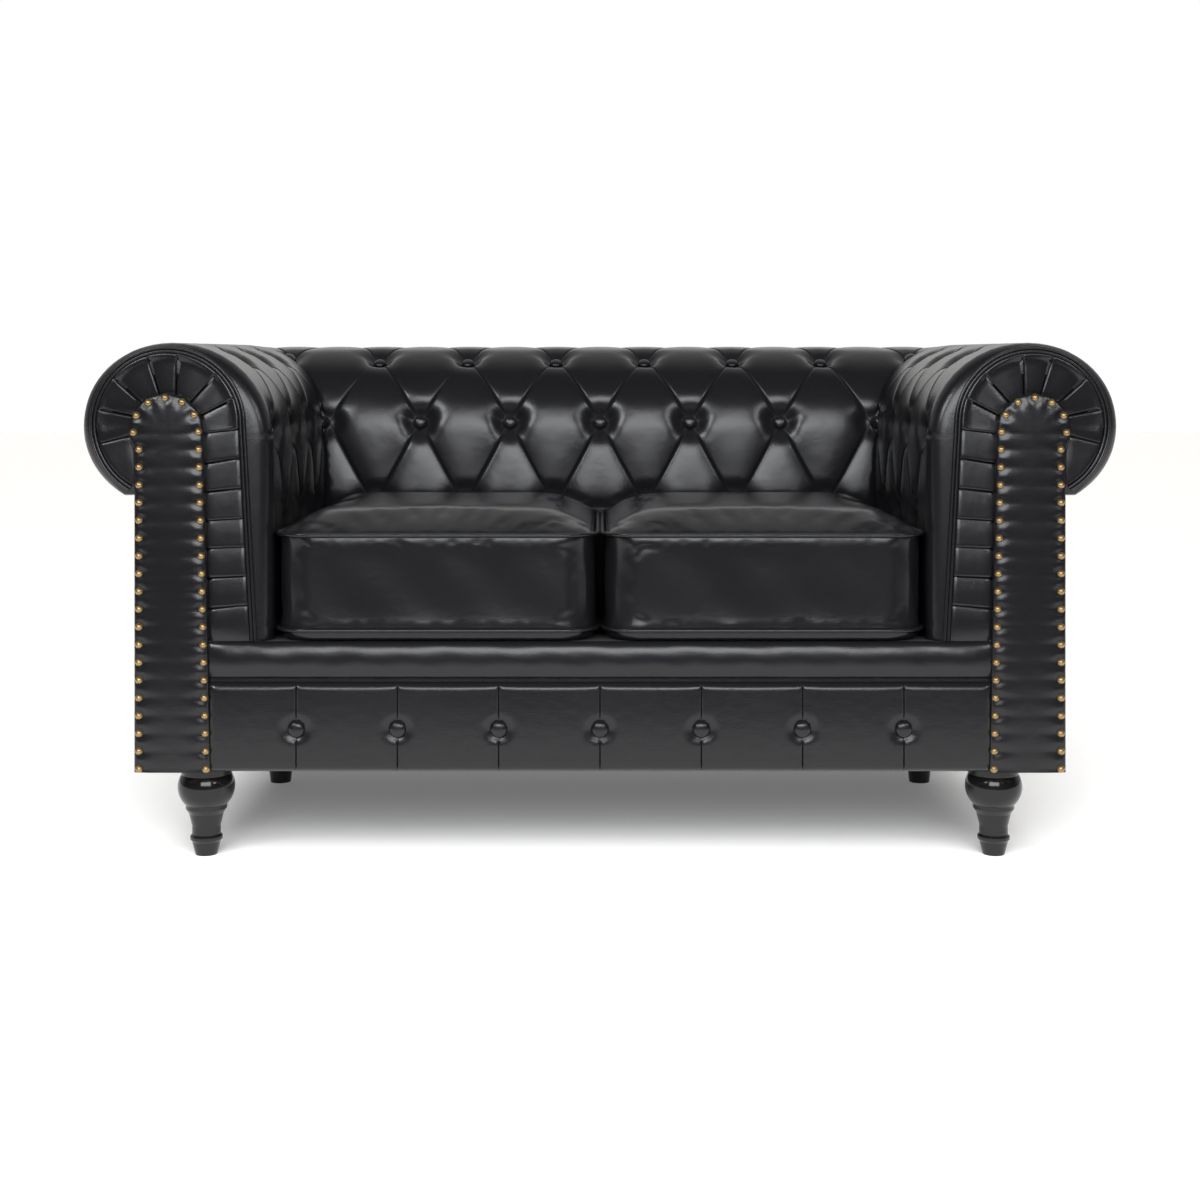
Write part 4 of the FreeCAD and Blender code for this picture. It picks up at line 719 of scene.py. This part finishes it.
def nail_path():
    """The line of the nails: up the inner edge, over the arch, in at the neck and down the outer edge."""
    radius = ARCH_RADIUS - NAIL_INSET
    outer = NAIL_OUTER
    left = (PANEL_INNER + NAIL_INSET, NAIL_FOOT)
    top = (ARCH_MIDDLE[0] - radius, ARCH_MIDDLE[1])
    shoulder = (ARCH_MIDDLE[0] + radius, ARCH_MIDDLE[1])
    knee = (outer, ARCH_MIDDLE[1] - KNEE_DROP)
    return np.concatenate([line_points(left, top, 0.0002),
                           arc_points(ARCH_MIDDLE, radius, 180, 0, 0.0002),
                           line_points(shoulder, knee, 0.0002),
                           line_points(knee, (outer, NAIL_FOOT), 0.0002)])


def nail_places():
    """The nails, evenly spaced along their line."""
    path = nail_path()
    lengths = np.concatenate([[0], np.cumsum(np.hypot(*np.diff(path, axis=0).T))])
    stations = np.linspace(0, lengths[-1], NAIL_COUNT)
    return np.stack([np.interp(stations, lengths, path[:, axis]) for axis in (0, 1)], axis=1)


def panel_edges(height):
    """Inner and outer edge of the panel at a height below the arch."""
    share = (height - FRAME_BOTTOM) / (ARCH_MIDDLE[1] - FRAME_BOTTOM)
    inner = PANEL_INNER + share * (ARCH_MIDDLE[0] - ARCH_RADIUS - PANEL_INNER)
    shoulder = ARCH_MIDDLE[1] - ARCH_RADIUS * 0.469
    if height > shoulder:
        return inner, ARCH_MIDDLE[0] + math.sqrt(ARCH_RADIUS ** 2 - (height - ARCH_MIDDLE[1]) ** 2)
    slope = min((shoulder - height) / 0.008, 1.0)
    start = ARCH_MIDDLE[0] + ARCH_RADIUS * 0.883
    return inner, start + (PANEL_OUTER - start) * slope


def panel_mesh(side):
    """The panel's face from its edge in to its middle line, with the pull of each nail."""
    heights = np.linspace(FRAME_BOTTOM, ARCH_MIDDLE[1], 161)
    turns = np.linspace(math.pi, 0, 49)[1:-1]
    edge = [(panel_edges(height)[0], height) for height in heights]
    spine = [(ARCH_MIDDLE[0], height) for height in heights]
    edge += [(ARCH_MIDDLE[0] + ARCH_RADIUS * math.cos(turn), ARCH_MIDDLE[1] + ARCH_RADIUS * math.sin(turn))
             for turn in turns]
    spine += [ARCH_MIDDLE] * len(turns)
    edge += [(panel_edges(height)[1], height) for height in heights[::-1]]
    spine += [(ARCH_MIDDLE[0], height) for height in heights[::-1]]
    edge, spine = np.array(edge), np.array(spine)
    across = np.array([0, 0.02, 0.05, 0.09, 0.14, 0.20, 0.27, 0.35, 0.44, 0.54, 0.65, 0.77, 0.89, 1])
    nails = nail_places()
    ahead = np.gradient(nails, axis=0)
    ahead /= np.hypot(ahead[:, 0], ahead[:, 1])[:, None]
    inward = np.stack([ahead[:, 1], -ahead[:, 0]], axis=1)

    def place(station, share):
        rim, middle = edge[int(station)], spine[int(station)]
        point = rim + (middle - rim) * share
        from_rim = share * math.dist(rim, middle)
        offsets = point - nails
        along = (offsets * ahead).sum(axis=1)
        into = (offsets * inward).sum(axis=1)
        away = np.hypot(along, into)
        pull = np.exp(-(away / 0.0090) ** 4).max()
        reach = 0.015 if middle[1] < ARCH_MIDDLE[1] - 0.001 else 0.007
        streak = np.exp(-(along / 0.0055) ** 2) * np.exp(-np.clip(into, 0, 1) / reach)
        streak = (streak * (into > -0.002)).max()
        swell = 0.0024 * float(stage_step(0.0, 0.014, from_rim))
        level = swell * (1 - max(pull, 0.8 * streak))
        turned = max(0.0, PANEL_ROUND - from_rim)
        drop = PANEL_ROUND - math.sqrt(PANEL_ROUND ** 2 - turned ** 2)
        return Vector((side * (INNER_HALF + point[0]), PANEL_FRONT - level + drop, point[1]))

    bm = bmesh.new()
    add_patch(bm, np.arange(len(edge)), across, place)
    bmesh.ops.remove_doubles(bm, verts=bm.verts, dist=2e-5)
    thicken(bm, lambda point: Vector((point.x, BOARD_Y - 0.0002, point.z)))
    return bm


for side, word in ((-1, "left"), (1, "right")):
    leather_piece(panel_mesh(side), word + "_nailed_panel", [word + "_arm_front_panel"], 50)


# Seat cushions: two loose boxed cushions, each a leather cover with a crowned top, drawn-in sides and
# a cord of piping at both seams. They lie on the deck and lift off.
CUSHION_GAP = 0.00015
CUSHION_FRONT = -0.38725
CUSHION_BACK = BACK_Y - RECLINE - 0.0003
CUSHION_FLOOR = 0.3183
LOWER_SEAM = 0.3337
UPPER_SEAM = 0.4687
CROWN = 0.031
CORNER_RADIUS = 0.045
SEAM_CORD = 0.0032
DRAW_IN = 0.0042
SEAM_INSET = 2 * SEAM_CORD + 0.0004


def rounded(x, y, half_x, half_y, radius):
    """Move a point of a rectangle's edge on to its rounded corner."""
    past_x, past_y = abs(x) - (half_x - radius), abs(y) - (half_y - radius)
    if past_x > 0 and past_y > 0:
        away = math.hypot(past_x, past_y)
        x = math.copysign(half_x - radius + radius * past_x / away, x)
        y = math.copysign(half_y - radius + radius * past_y / away, y)
    return x, y


def ring_point(turn, half_x, half_y, radius):
    """A point of a rounded rectangle; turn runs from 0 to 4 round its sides."""
    side, share = int(turn) % 4, (turn - int(turn)) * 2 - 1
    square = ((1, share), (-share, 1), (-1, -share), (share, -1))[side]
    return rounded(square[0] * half_x, square[1] * half_y, half_x, half_y, radius)


def cushion_mesh(side):
    """The cover of a cushion and its two seam cords."""
    middle = side * (CUSHION_GAP + INNER_HALF - 0.0003) / 2
    half_x = (INNER_HALF - 0.0003 - CUSHION_GAP) / 2
    half_y = (CUSHION_BACK - CUSHION_FRONT) / 2
    centre_y = (CUSHION_BACK + CUSHION_FRONT) / 2
    seam_x, seam_y = half_x - SEAM_INSET, half_y - SEAM_INSET
    bm = bmesh.new()

    def panel_point(x, y, height_at):
        scale = max(abs(x), abs(y))
        px, py = (x * seam_x, y * seam_y)
        if scale > 0:
            ex, ey = rounded(x / scale * seam_x, y / scale * seam_y, seam_x, seam_y, CORNER_RADIUS)
            px, py = ex * scale, ey * scale
        inset = (1 - scale) * (seam_x + seam_y) / 2
        return Vector((middle + px, centre_y + py, height_at(inset, px, py)))

    def crown(inset, x, y):
        rise = CROWN * (1 - (1 - min(inset / 0.135, 1.0)) ** 3.2)
        turn = math.atan2(y, x)
        pucker = 0.0007 * (1 + math.sin(41 * turn + side)) * math.exp(-inset / 0.02) * min(inset / 0.006, 1)
        soft = 0.0008 * (1 + math.sin(11 * x + 2 * side) * math.cos(9 * y + side)) * min(inset / 0.05, 1)
        return UPPER_SEAM + rise + pucker + soft

    def under(inset, x, y):
        return LOWER_SEAM - (LOWER_SEAM - CUSHION_FLOOR) * min(inset / 0.004, 1.0) ** 0.6

    stations = np.sin(np.linspace(-math.pi / 2, math.pi / 2, 57))
    add_patch(bm, stations, stations, lambda x, y: panel_point(x, y, crown))
    add_patch(bm, stations, stations, lambda x, y: panel_point(x, y, under))
    turns = np.concatenate([number + (stations[:-1] + 1) / 2 for number in range(4)] + [[4.0]])

    def band(turn, share):
        draw = DRAW_IN * (1 - (2 * share - 1) ** 4)
        x, y = ring_point(min(turn, 3.999999), seam_x, seam_y, CORNER_RADIUS)
        away = math.hypot(x, y)
        ripple = 0.0008 * (1 + math.sin(23 * turn + 5 * share + side)) * (1 - (2 * share - 1) ** 2)
        keep = 1 - (draw - ripple) / away
        height = LOWER_SEAM + share * (UPPER_SEAM - LOWER_SEAM)
        return Vector((middle + x * keep, centre_y + y * keep, height))

    add_patch(bm, turns, np.linspace(0, 1, 17), band)
    bmesh.ops.remove_doubles(bm, verts=bm.verts, dist=2e-4)
    cords = bmesh.new()
    for height in (LOWER_SEAM, UPPER_SEAM):
        path = []
        for turn in turns:
            x, y = ring_point(min(turn, 3.999999), half_x - SEAM_CORD, half_y - SEAM_CORD,
                              CORNER_RADIUS + 0.003)
            path.append((middle + x, centre_y + y, height))
        path[-1] = path[0]
        add_tube(cords, path, SEAM_CORD)
    return bm, cords


VOXEL = 0.0070
SWELL_TOP = 0.006
SWELL_SIDE = 0.003
COVER_SPARE = 0.0006


def points_of(mesh):
    """The mesh's points as an array."""
    flat = np.empty(len(mesh.vertices) * 3)
    mesh.vertices.foreach_get("co", flat)
    return flat.reshape(-1, 3)


def settle_cover(piece):
    """Swell the cover as cloth over its filling, held along both seams, and keep the shape."""
    modelled = BVHTree.FromPolygons([vert.co[:] for vert in piece.data.vertices],
                                    [face.vertices[:] for face in piece.data.polygons])
    remesh = piece.modifiers.new("even_mesh", "REMESH")
    remesh.mode = "VOXEL"
    remesh.voxel_size = VOXEL
    shaped = bpy.data.meshes.new_from_object(piece.evaluated_get(bpy.context.evaluated_depsgraph_get()))
    piece.modifiers.remove(remesh)
    piece.data = shaped
    before = points_of(shaped)
    held = piece.vertex_groups.new(name="seams")
    near_seam = np.minimum(np.abs(before[:, 2] - LOWER_SEAM), np.abs(before[:, 2] - UPPER_SEAM)) < 0.0045
    held.add([int(number) for number in np.nonzero(near_seam)[0]], 1.0, "REPLACE")
    cloth = piece.modifiers.new("cloth", "CLOTH")
    cloth.settings.quality = 4
    cloth.settings.tension_stiffness = 12
    cloth.settings.compression_stiffness = 12
    cloth.settings.bending_stiffness = 0.6
    cloth.settings.shrink_min = -0.02
    cloth.settings.use_pressure = True
    cloth.settings.uniform_pressure_force = 4.0
    cloth.settings.effector_weights.gravity = 0.0
    cloth.settings.vertex_group_mass = "seams"
    for number in range(1, 21):
        bpy.context.scene.frame_set(number)
    after = points_of(piece.evaluated_get(bpy.context.evaluated_depsgraph_get()).to_mesh())
    normals = np.empty(len(shaped.vertices) * 3)
    shaped.vertices.foreach_get("normal", normals)
    normals = normals.reshape(-1, 3)
    move = np.nan_to_num(after - before)
    out = (move * normals).sum(axis=1)
    on_top = normals[:, 2] > 0.5
    wanted = np.clip(out, -0.0005, np.where(on_top, SWELL_TOP, SWELL_SIDE))
    wanted[normals[:, 2] < -0.5] = 0
    piece.modifiers.remove(cloth)
    settled = before + normals * wanted[:, None]
    for number, point in enumerate(settled):
        near, outward, _, _ = modelled.find_nearest(Vector(point))
        if (Vector(point) - near).dot(outward) < COVER_SPARE:
            settled[number] = near + outward * COVER_SPARE
    settled[:, 2] = np.maximum(settled[:, 2], CUSHION_FLOOR)
    shaped.vertices.foreach_set("co", settled.ravel())
    shaped.shade_smooth()
    bpy.context.scene.frame_set(1)


for side, word in ((-1, "left"), (1, "right")):
    cover, cords = cushion_mesh(side)
    body = word + "_seat_cushion"
    cover = leather_piece(cover, word + "_cushion_leather", [word + "_cushion_cover"], 60, body=body)
    settle_cover(cover)
    finer = cover.modifiers.new("finer", "SUBSURF")
    finer.levels = 1
    finer.render_levels = 1
    leather_piece(cords, word + "_cushion_cords", [word + "_cushion_piping"], body=body)


# Front of the seat: a padded leather roll along the deck's edge, tucked in behind the apron, and the
# padded apron with seven covered buttons, each on an upright seam.
ROLL_HALF = 0.5565
ROLL_TOP = 0.3177
ROLL_LOW = 0.2655
ROLL_DEPTH = 0.0115
APRON_HALF = 0.5560
APRON_TOP = 0.2605
APRON_DEPTH = 0.0105
APRON_BUTTONS = 7
APRON_PITCH = 0.1433
APRON_BUTTON_HEIGHT = 0.194
APRON_BUTTON_RADIUS = 0.012
APRON_BUTTON_SUNK = 0.0035


def roll_mesh():
    """The roll's rounded face and the strip of leather that runs down behind the apron."""
    bm = bmesh.new()
    ends = np.array([0, 0.002, 0.005, 0.010, 0.018, 0.030])
    columns = np.concatenate([-ROLL_HALF + ends, np.linspace(-ROLL_HALF + 0.045, ROLL_HALF - 0.045, 121),
                              ROLL_HALF - ends[::-1]])
    middle, half = (ROLL_TOP + ROLL_LOW) / 2, (ROLL_TOP - ROLL_LOW) / 2

    def place(x, turn):
        if turn > math.pi:
            return Vector((x, BOARD_Y - 0.0012, ROLL_LOW - 0.010 * (turn - math.pi)))
        from_end = ROLL_HALF - abs(x)
        full = 0.5 + 0.5 * min(from_end / 0.03, 1.0) ** 0.5
        wave = 1 + 0.05 * math.sin(37 * x) * math.sin(turn) + 0.03 * math.sin(91 * x + 1.3 * math.cos(turn))
        out = 0.0012 + (ROLL_DEPTH * full * wave) * math.sin(turn) ** 0.75
        return Vector((x, BOARD_Y - out, middle + half * math.cos(turn)))

    add_patch(bm, columns, np.append(np.linspace(0, math.pi, 21), math.pi + 1), place)
    thicken(bm, lambda point: Vector((point.x, BOARD_Y - 0.0002, point.z)))
    return bm


leather_piece(roll_mesh(), "seat_front_pad", ["seat_front_roll"], 60)

apron_centres = [(number - (APRON_BUTTONS - 1) / 2) * APRON_PITCH for number in range(APRON_BUTTONS)]


def apron_mesh():
    """The apron's face with its upright seams, the pull of the buttons and the turned edge."""
    bm = bmesh.new()
    columns = set(np.round(np.linspace(-APRON_HALF, APRON_HALF, 181), 5))
    for centre in apron_centres:
        columns |= {round(centre + sign * step, 5) for sign in (-1, 1) for step in (0, 0.001, 0.002, 0.004)}
    columns |= {round(sign * (APRON_HALF - step), 5) for sign in (-1, 1) for step in (0.001, 0.003)}
    height = APRON_TOP - FRAME_BOTTOM
    ends = np.array([0, 0.0012, 0.003, 0.006])
    rows = np.concatenate([ends, np.linspace(0.010, height - 0.010, 25), height - ends[::-1]])
    rows = rows + FRAME_BOTTOM

    def place(x, z):
        centre = min(apron_centres, key=lambda value: abs(value - x))
        offset, up = x - centre, z - APRON_BUTTON_HEIGHT
        away = math.hypot(offset, up)
        seam = 0.0024 * math.exp(-abs(offset) / 0.0010) + 0.0010 * math.exp(-abs(offset) / 0.012)
        fall = max(0.0, 1 - max(away - 0.012, 0) / 0.009) ** 2
        depth = seam + (0.0052 - min(seam, 0.0052)) * fall
        edge = min(z - FRAME_BOTTOM, APRON_TOP - z, APRON_HALF - abs(x))
        depth = max(depth, 0.0075 * max(0.0, 1 - edge / 0.010) ** 2.2)
        swell = 0.0012 * math.sin(math.pi * (z - FRAME_BOTTOM) / height)
        return Vector((x, BOARD_Y - APRON_DEPTH + depth - swell, z))

    add_patch(bm, sorted(columns), rows, place)
    thicken(bm, lambda point: Vector((point.x, BOARD_Y - 0.0002, point.z)))
    return bm


leather_piece(apron_mesh(), "buttoned_apron", ["front_apron"], 60)
buttons = bmesh.new()
for centre in apron_centres:
    seat = (centre, BOARD_Y - APRON_DEPTH + APRON_BUTTON_SUNK, APRON_BUTTON_HEIGHT)
    add_dome(buttons, APRON_BUTTON_RADIUS, BUTTON_HEIGHT, seat, (0, -1, 0))
leather_piece(buttons, "apron_covered_buttons", ["apron_buttons"])


# Outside panels of the arms and the back: leather stretched over card on the frame, a little full in
# the middle, tacked along its edges.
OUTSIDE_FACE = 0.659
OUTSIDE_TOP = 0.536
OUTSIDE_BACK = 0.32075
OUTSIDE_FULL = 0.004
OUTSIDE_THICKNESS = 0.0055


def outside_sheet(place, low, high):
    """A slightly full sheet over a rectangle, with its edge turned in."""
    bm = bmesh.new()
    ends = np.array([0, 0.002, 0.005, 0.012, 0.025])
    columns = np.concatenate([low + ends, np.linspace(low + 0.04, high - 0.04, 31), high - ends[::-1]])
    rows = np.concatenate([FRAME_BOTTOM + ends, np.linspace(FRAME_BOTTOM + 0.04, OUTSIDE_TOP - 0.04, 21),
                           OUTSIDE_TOP - ends[::-1]])

    def full(along, z):
        share_x = min(along - low, high - along)
        share_z = min(z - FRAME_BOTTOM, OUTSIDE_TOP - z)
        edge = min(share_x, share_z)
        belly = math.sin(math.pi * (along - low) / (high - low)) * \
            math.sin(math.pi * (z - FRAME_BOTTOM) / (OUTSIDE_TOP - FRAME_BOTTOM))
        return OUTSIDE_FULL * max(belly, 0) - 0.003 * max(0.0, 1 - edge / 0.005) ** 2

    add_patch(bm, columns, rows, lambda along, z: place(along, z, full(along, z)))
    return bm


for side, word in ((-1, "left"), (1, "right")):
    sheet = outside_sheet(lambda along, z, out: Vector((side * (OUTSIDE_FACE + out), along, z)),
                          BOARD_Y, OUTSIDE_BACK - OUTSIDE_THICKNESS)
    thicken(sheet, lambda point: Vector((side * (OUTSIDE_FACE - OUTSIDE_THICKNESS), point.y, point.z)))
    leather_piece(sheet, word + "_outside_arm_leather", [word + "_outside_arm_panel"], 50)
sheet = outside_sheet(lambda along, z, out: Vector((along, OUTSIDE_BACK + out, z)),
                      -OUTSIDE_FACE, OUTSIDE_FACE)
thicken(sheet, lambda point: Vector((point.x, OUTSIDE_BACK - OUTSIDE_THICKNESS, point.z)))
leather_piece(sheet, "outside_back_leather", ["outside_back_panel"], 50)


# Seat deck and dust cover in black woven cloth. The deck is a felt pad in a cloth case, tacked to the
# rails over the springs; the dust cover is one sheet stapled flat under the frame.
DECK_HALF = 0.5005
DECK_FRONT = -0.3735
DECK_BACK = 0.16195
DECK_LEVELS = (0.3041, 0.3177)
DECK_DIP = 0.0016
SPRING_PITCH = 0.1066
DUST_HALF = 0.6455
DUST_FRONT = -0.36725
DUST_BACK = 0.30725
DUST_LEVELS = (0.13275, 0.13395)
DUST_TUCK = 0.0004


def cloth_slab(half, front, back, levels, drop_at):
    """A slab of cloth whose upper face follows a small drop."""
    bm = bmesh.new()
    ends = np.array([0, 0.002, 0.006, 0.014])
    columns = np.concatenate([-half + ends, np.linspace(-half + 0.03, half - 0.03, 97), half - ends[::-1]])
    rows = np.concatenate([front + ends, np.linspace(front + 0.03, back - 0.03, 41), back - ends[::-1]])

    def place(x, y):
        inset = min(x + half, half - x, y - front, back - y)
        return Vector((x, y, levels[1] - drop_at(x, y, inset)))

    add_patch(bm, columns, rows, place)
    thicken(bm, lambda point: Vector((point.x, point.y, levels[0])))
    return bm


def deck_drop(x, y, inset):
    """The deck dips a little between the springs and rounds off at its edge."""
    between = 0.5 - 0.5 * math.cos(2 * math.pi * x / SPRING_PITCH)
    return DECK_DIP * between * min(inset / 0.05, 1.0) + 0.004 * max(0.0, 1 - inset / 0.006) ** 2


def dust_drop(x, y, inset):
    """The dust cover is a little thinner inside its turned edge."""
    return DUST_TUCK * min(inset / 0.05, 1.0)


cloth = new_material("black_cloth", Roughness=0.9)
deck_slab = cloth_slab(DECK_HALF, DECK_FRONT, DECK_BACK, DECK_LEVELS, deck_drop)
deck = finish_mesh(deck_slab, "seat_deck_pad", cloth, "frame", ["seat_deck"], 60)
dust_slab = cloth_slab(DUST_HALF, DUST_FRONT, DUST_BACK, DUST_LEVELS, dust_drop)
dust = finish_mesh(dust_slab, "dust_cloth", cloth, "frame", ["dust_cover"], 60)


# Inner frame, feet and nails keep their machined shapes: sanded timber, plated steel, brass heads,
# glossy black feet and foam cores.
def noise_into(material, socket, scale, low, high, stretch=(1, 1, 1)):
    """Drive a socket of the shader by noise in object coordinates."""
    nodes, links = material.node_tree.nodes, material.node_tree.links
    coordinates = nodes.new("ShaderNodeTexCoord")
    mapping = nodes.new("ShaderNodeMapping")
    mapping.inputs["Scale"].default_value = stretch
    noise = nodes.new("ShaderNodeTexNoise")
    noise.inputs["Scale"].default_value = scale
    noise.inputs["Detail"].default_value = 4.0
    ramp = nodes.new("ShaderNodeMix")
    ramp.data_type = "RGBA"
    ramp.inputs[6].default_value = low
    ramp.inputs[7].default_value = high
    links.new(coordinates.outputs["Object"], mapping.inputs["Vector"])
    links.new(mapping.outputs["Vector"], noise.inputs["Vector"])
    links.new(noise.outputs["Fac"], ramp.inputs[0])
    links.new(ramp.outputs[2], nodes["Principled BSDF"].inputs[socket])


timber = new_material("sanded_timber", Roughness=0.6)
noise_into(timber, "Base Color", 30, (0.32, 0.20, 0.10, 1), (0.55, 0.38, 0.22, 1), (0.2, 3, 3))
steel = new_material("plated_steel", Metallic=1.0, Roughness=0.35)
noise_into(steel, "Base Color", 60, (0.42, 0.42, 0.43, 1), (0.60, 0.60, 0.62, 1))
brass = new_material("brass_nails", Metallic=0.9, Roughness=0.33)
noise_into(brass, "Base Color", 220, (0.25, 0.17, 0.075, 1), (0.36, 0.25, 0.12, 1))
gloss = new_material("gloss_black", Roughness=0.12, Specular_IOR_Level=0.35)
noise_into(gloss, "Base Color", 40, (0.004, 0.004, 0.004, 1), (0.009, 0.009, 0.010, 1))
foam = new_material("seat_foam", Roughness=0.95)
noise_into(foam, "Base Color", 90, (0.62, 0.56, 0.42, 1), (0.74, 0.68, 0.54, 1))
noise_into(cloth, "Base Color", 400, (0.008, 0.008, 0.009, 1), (0.022, 0.022, 0.024, 1))
KEPT = (
    (timber, ("rail", "ribs", "board", "blocks")), (steel, ("springs", "clips", "plates", "bolts")),
    (brass, ("nails",)), (gloss, ("foot",)), (foam, ("core",)),
)
for name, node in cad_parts.items():
    for material, words in KEPT:
        if any(word in name for word in words):
            node.data.materials.clear()
            node.data.materials.append(material)
            break
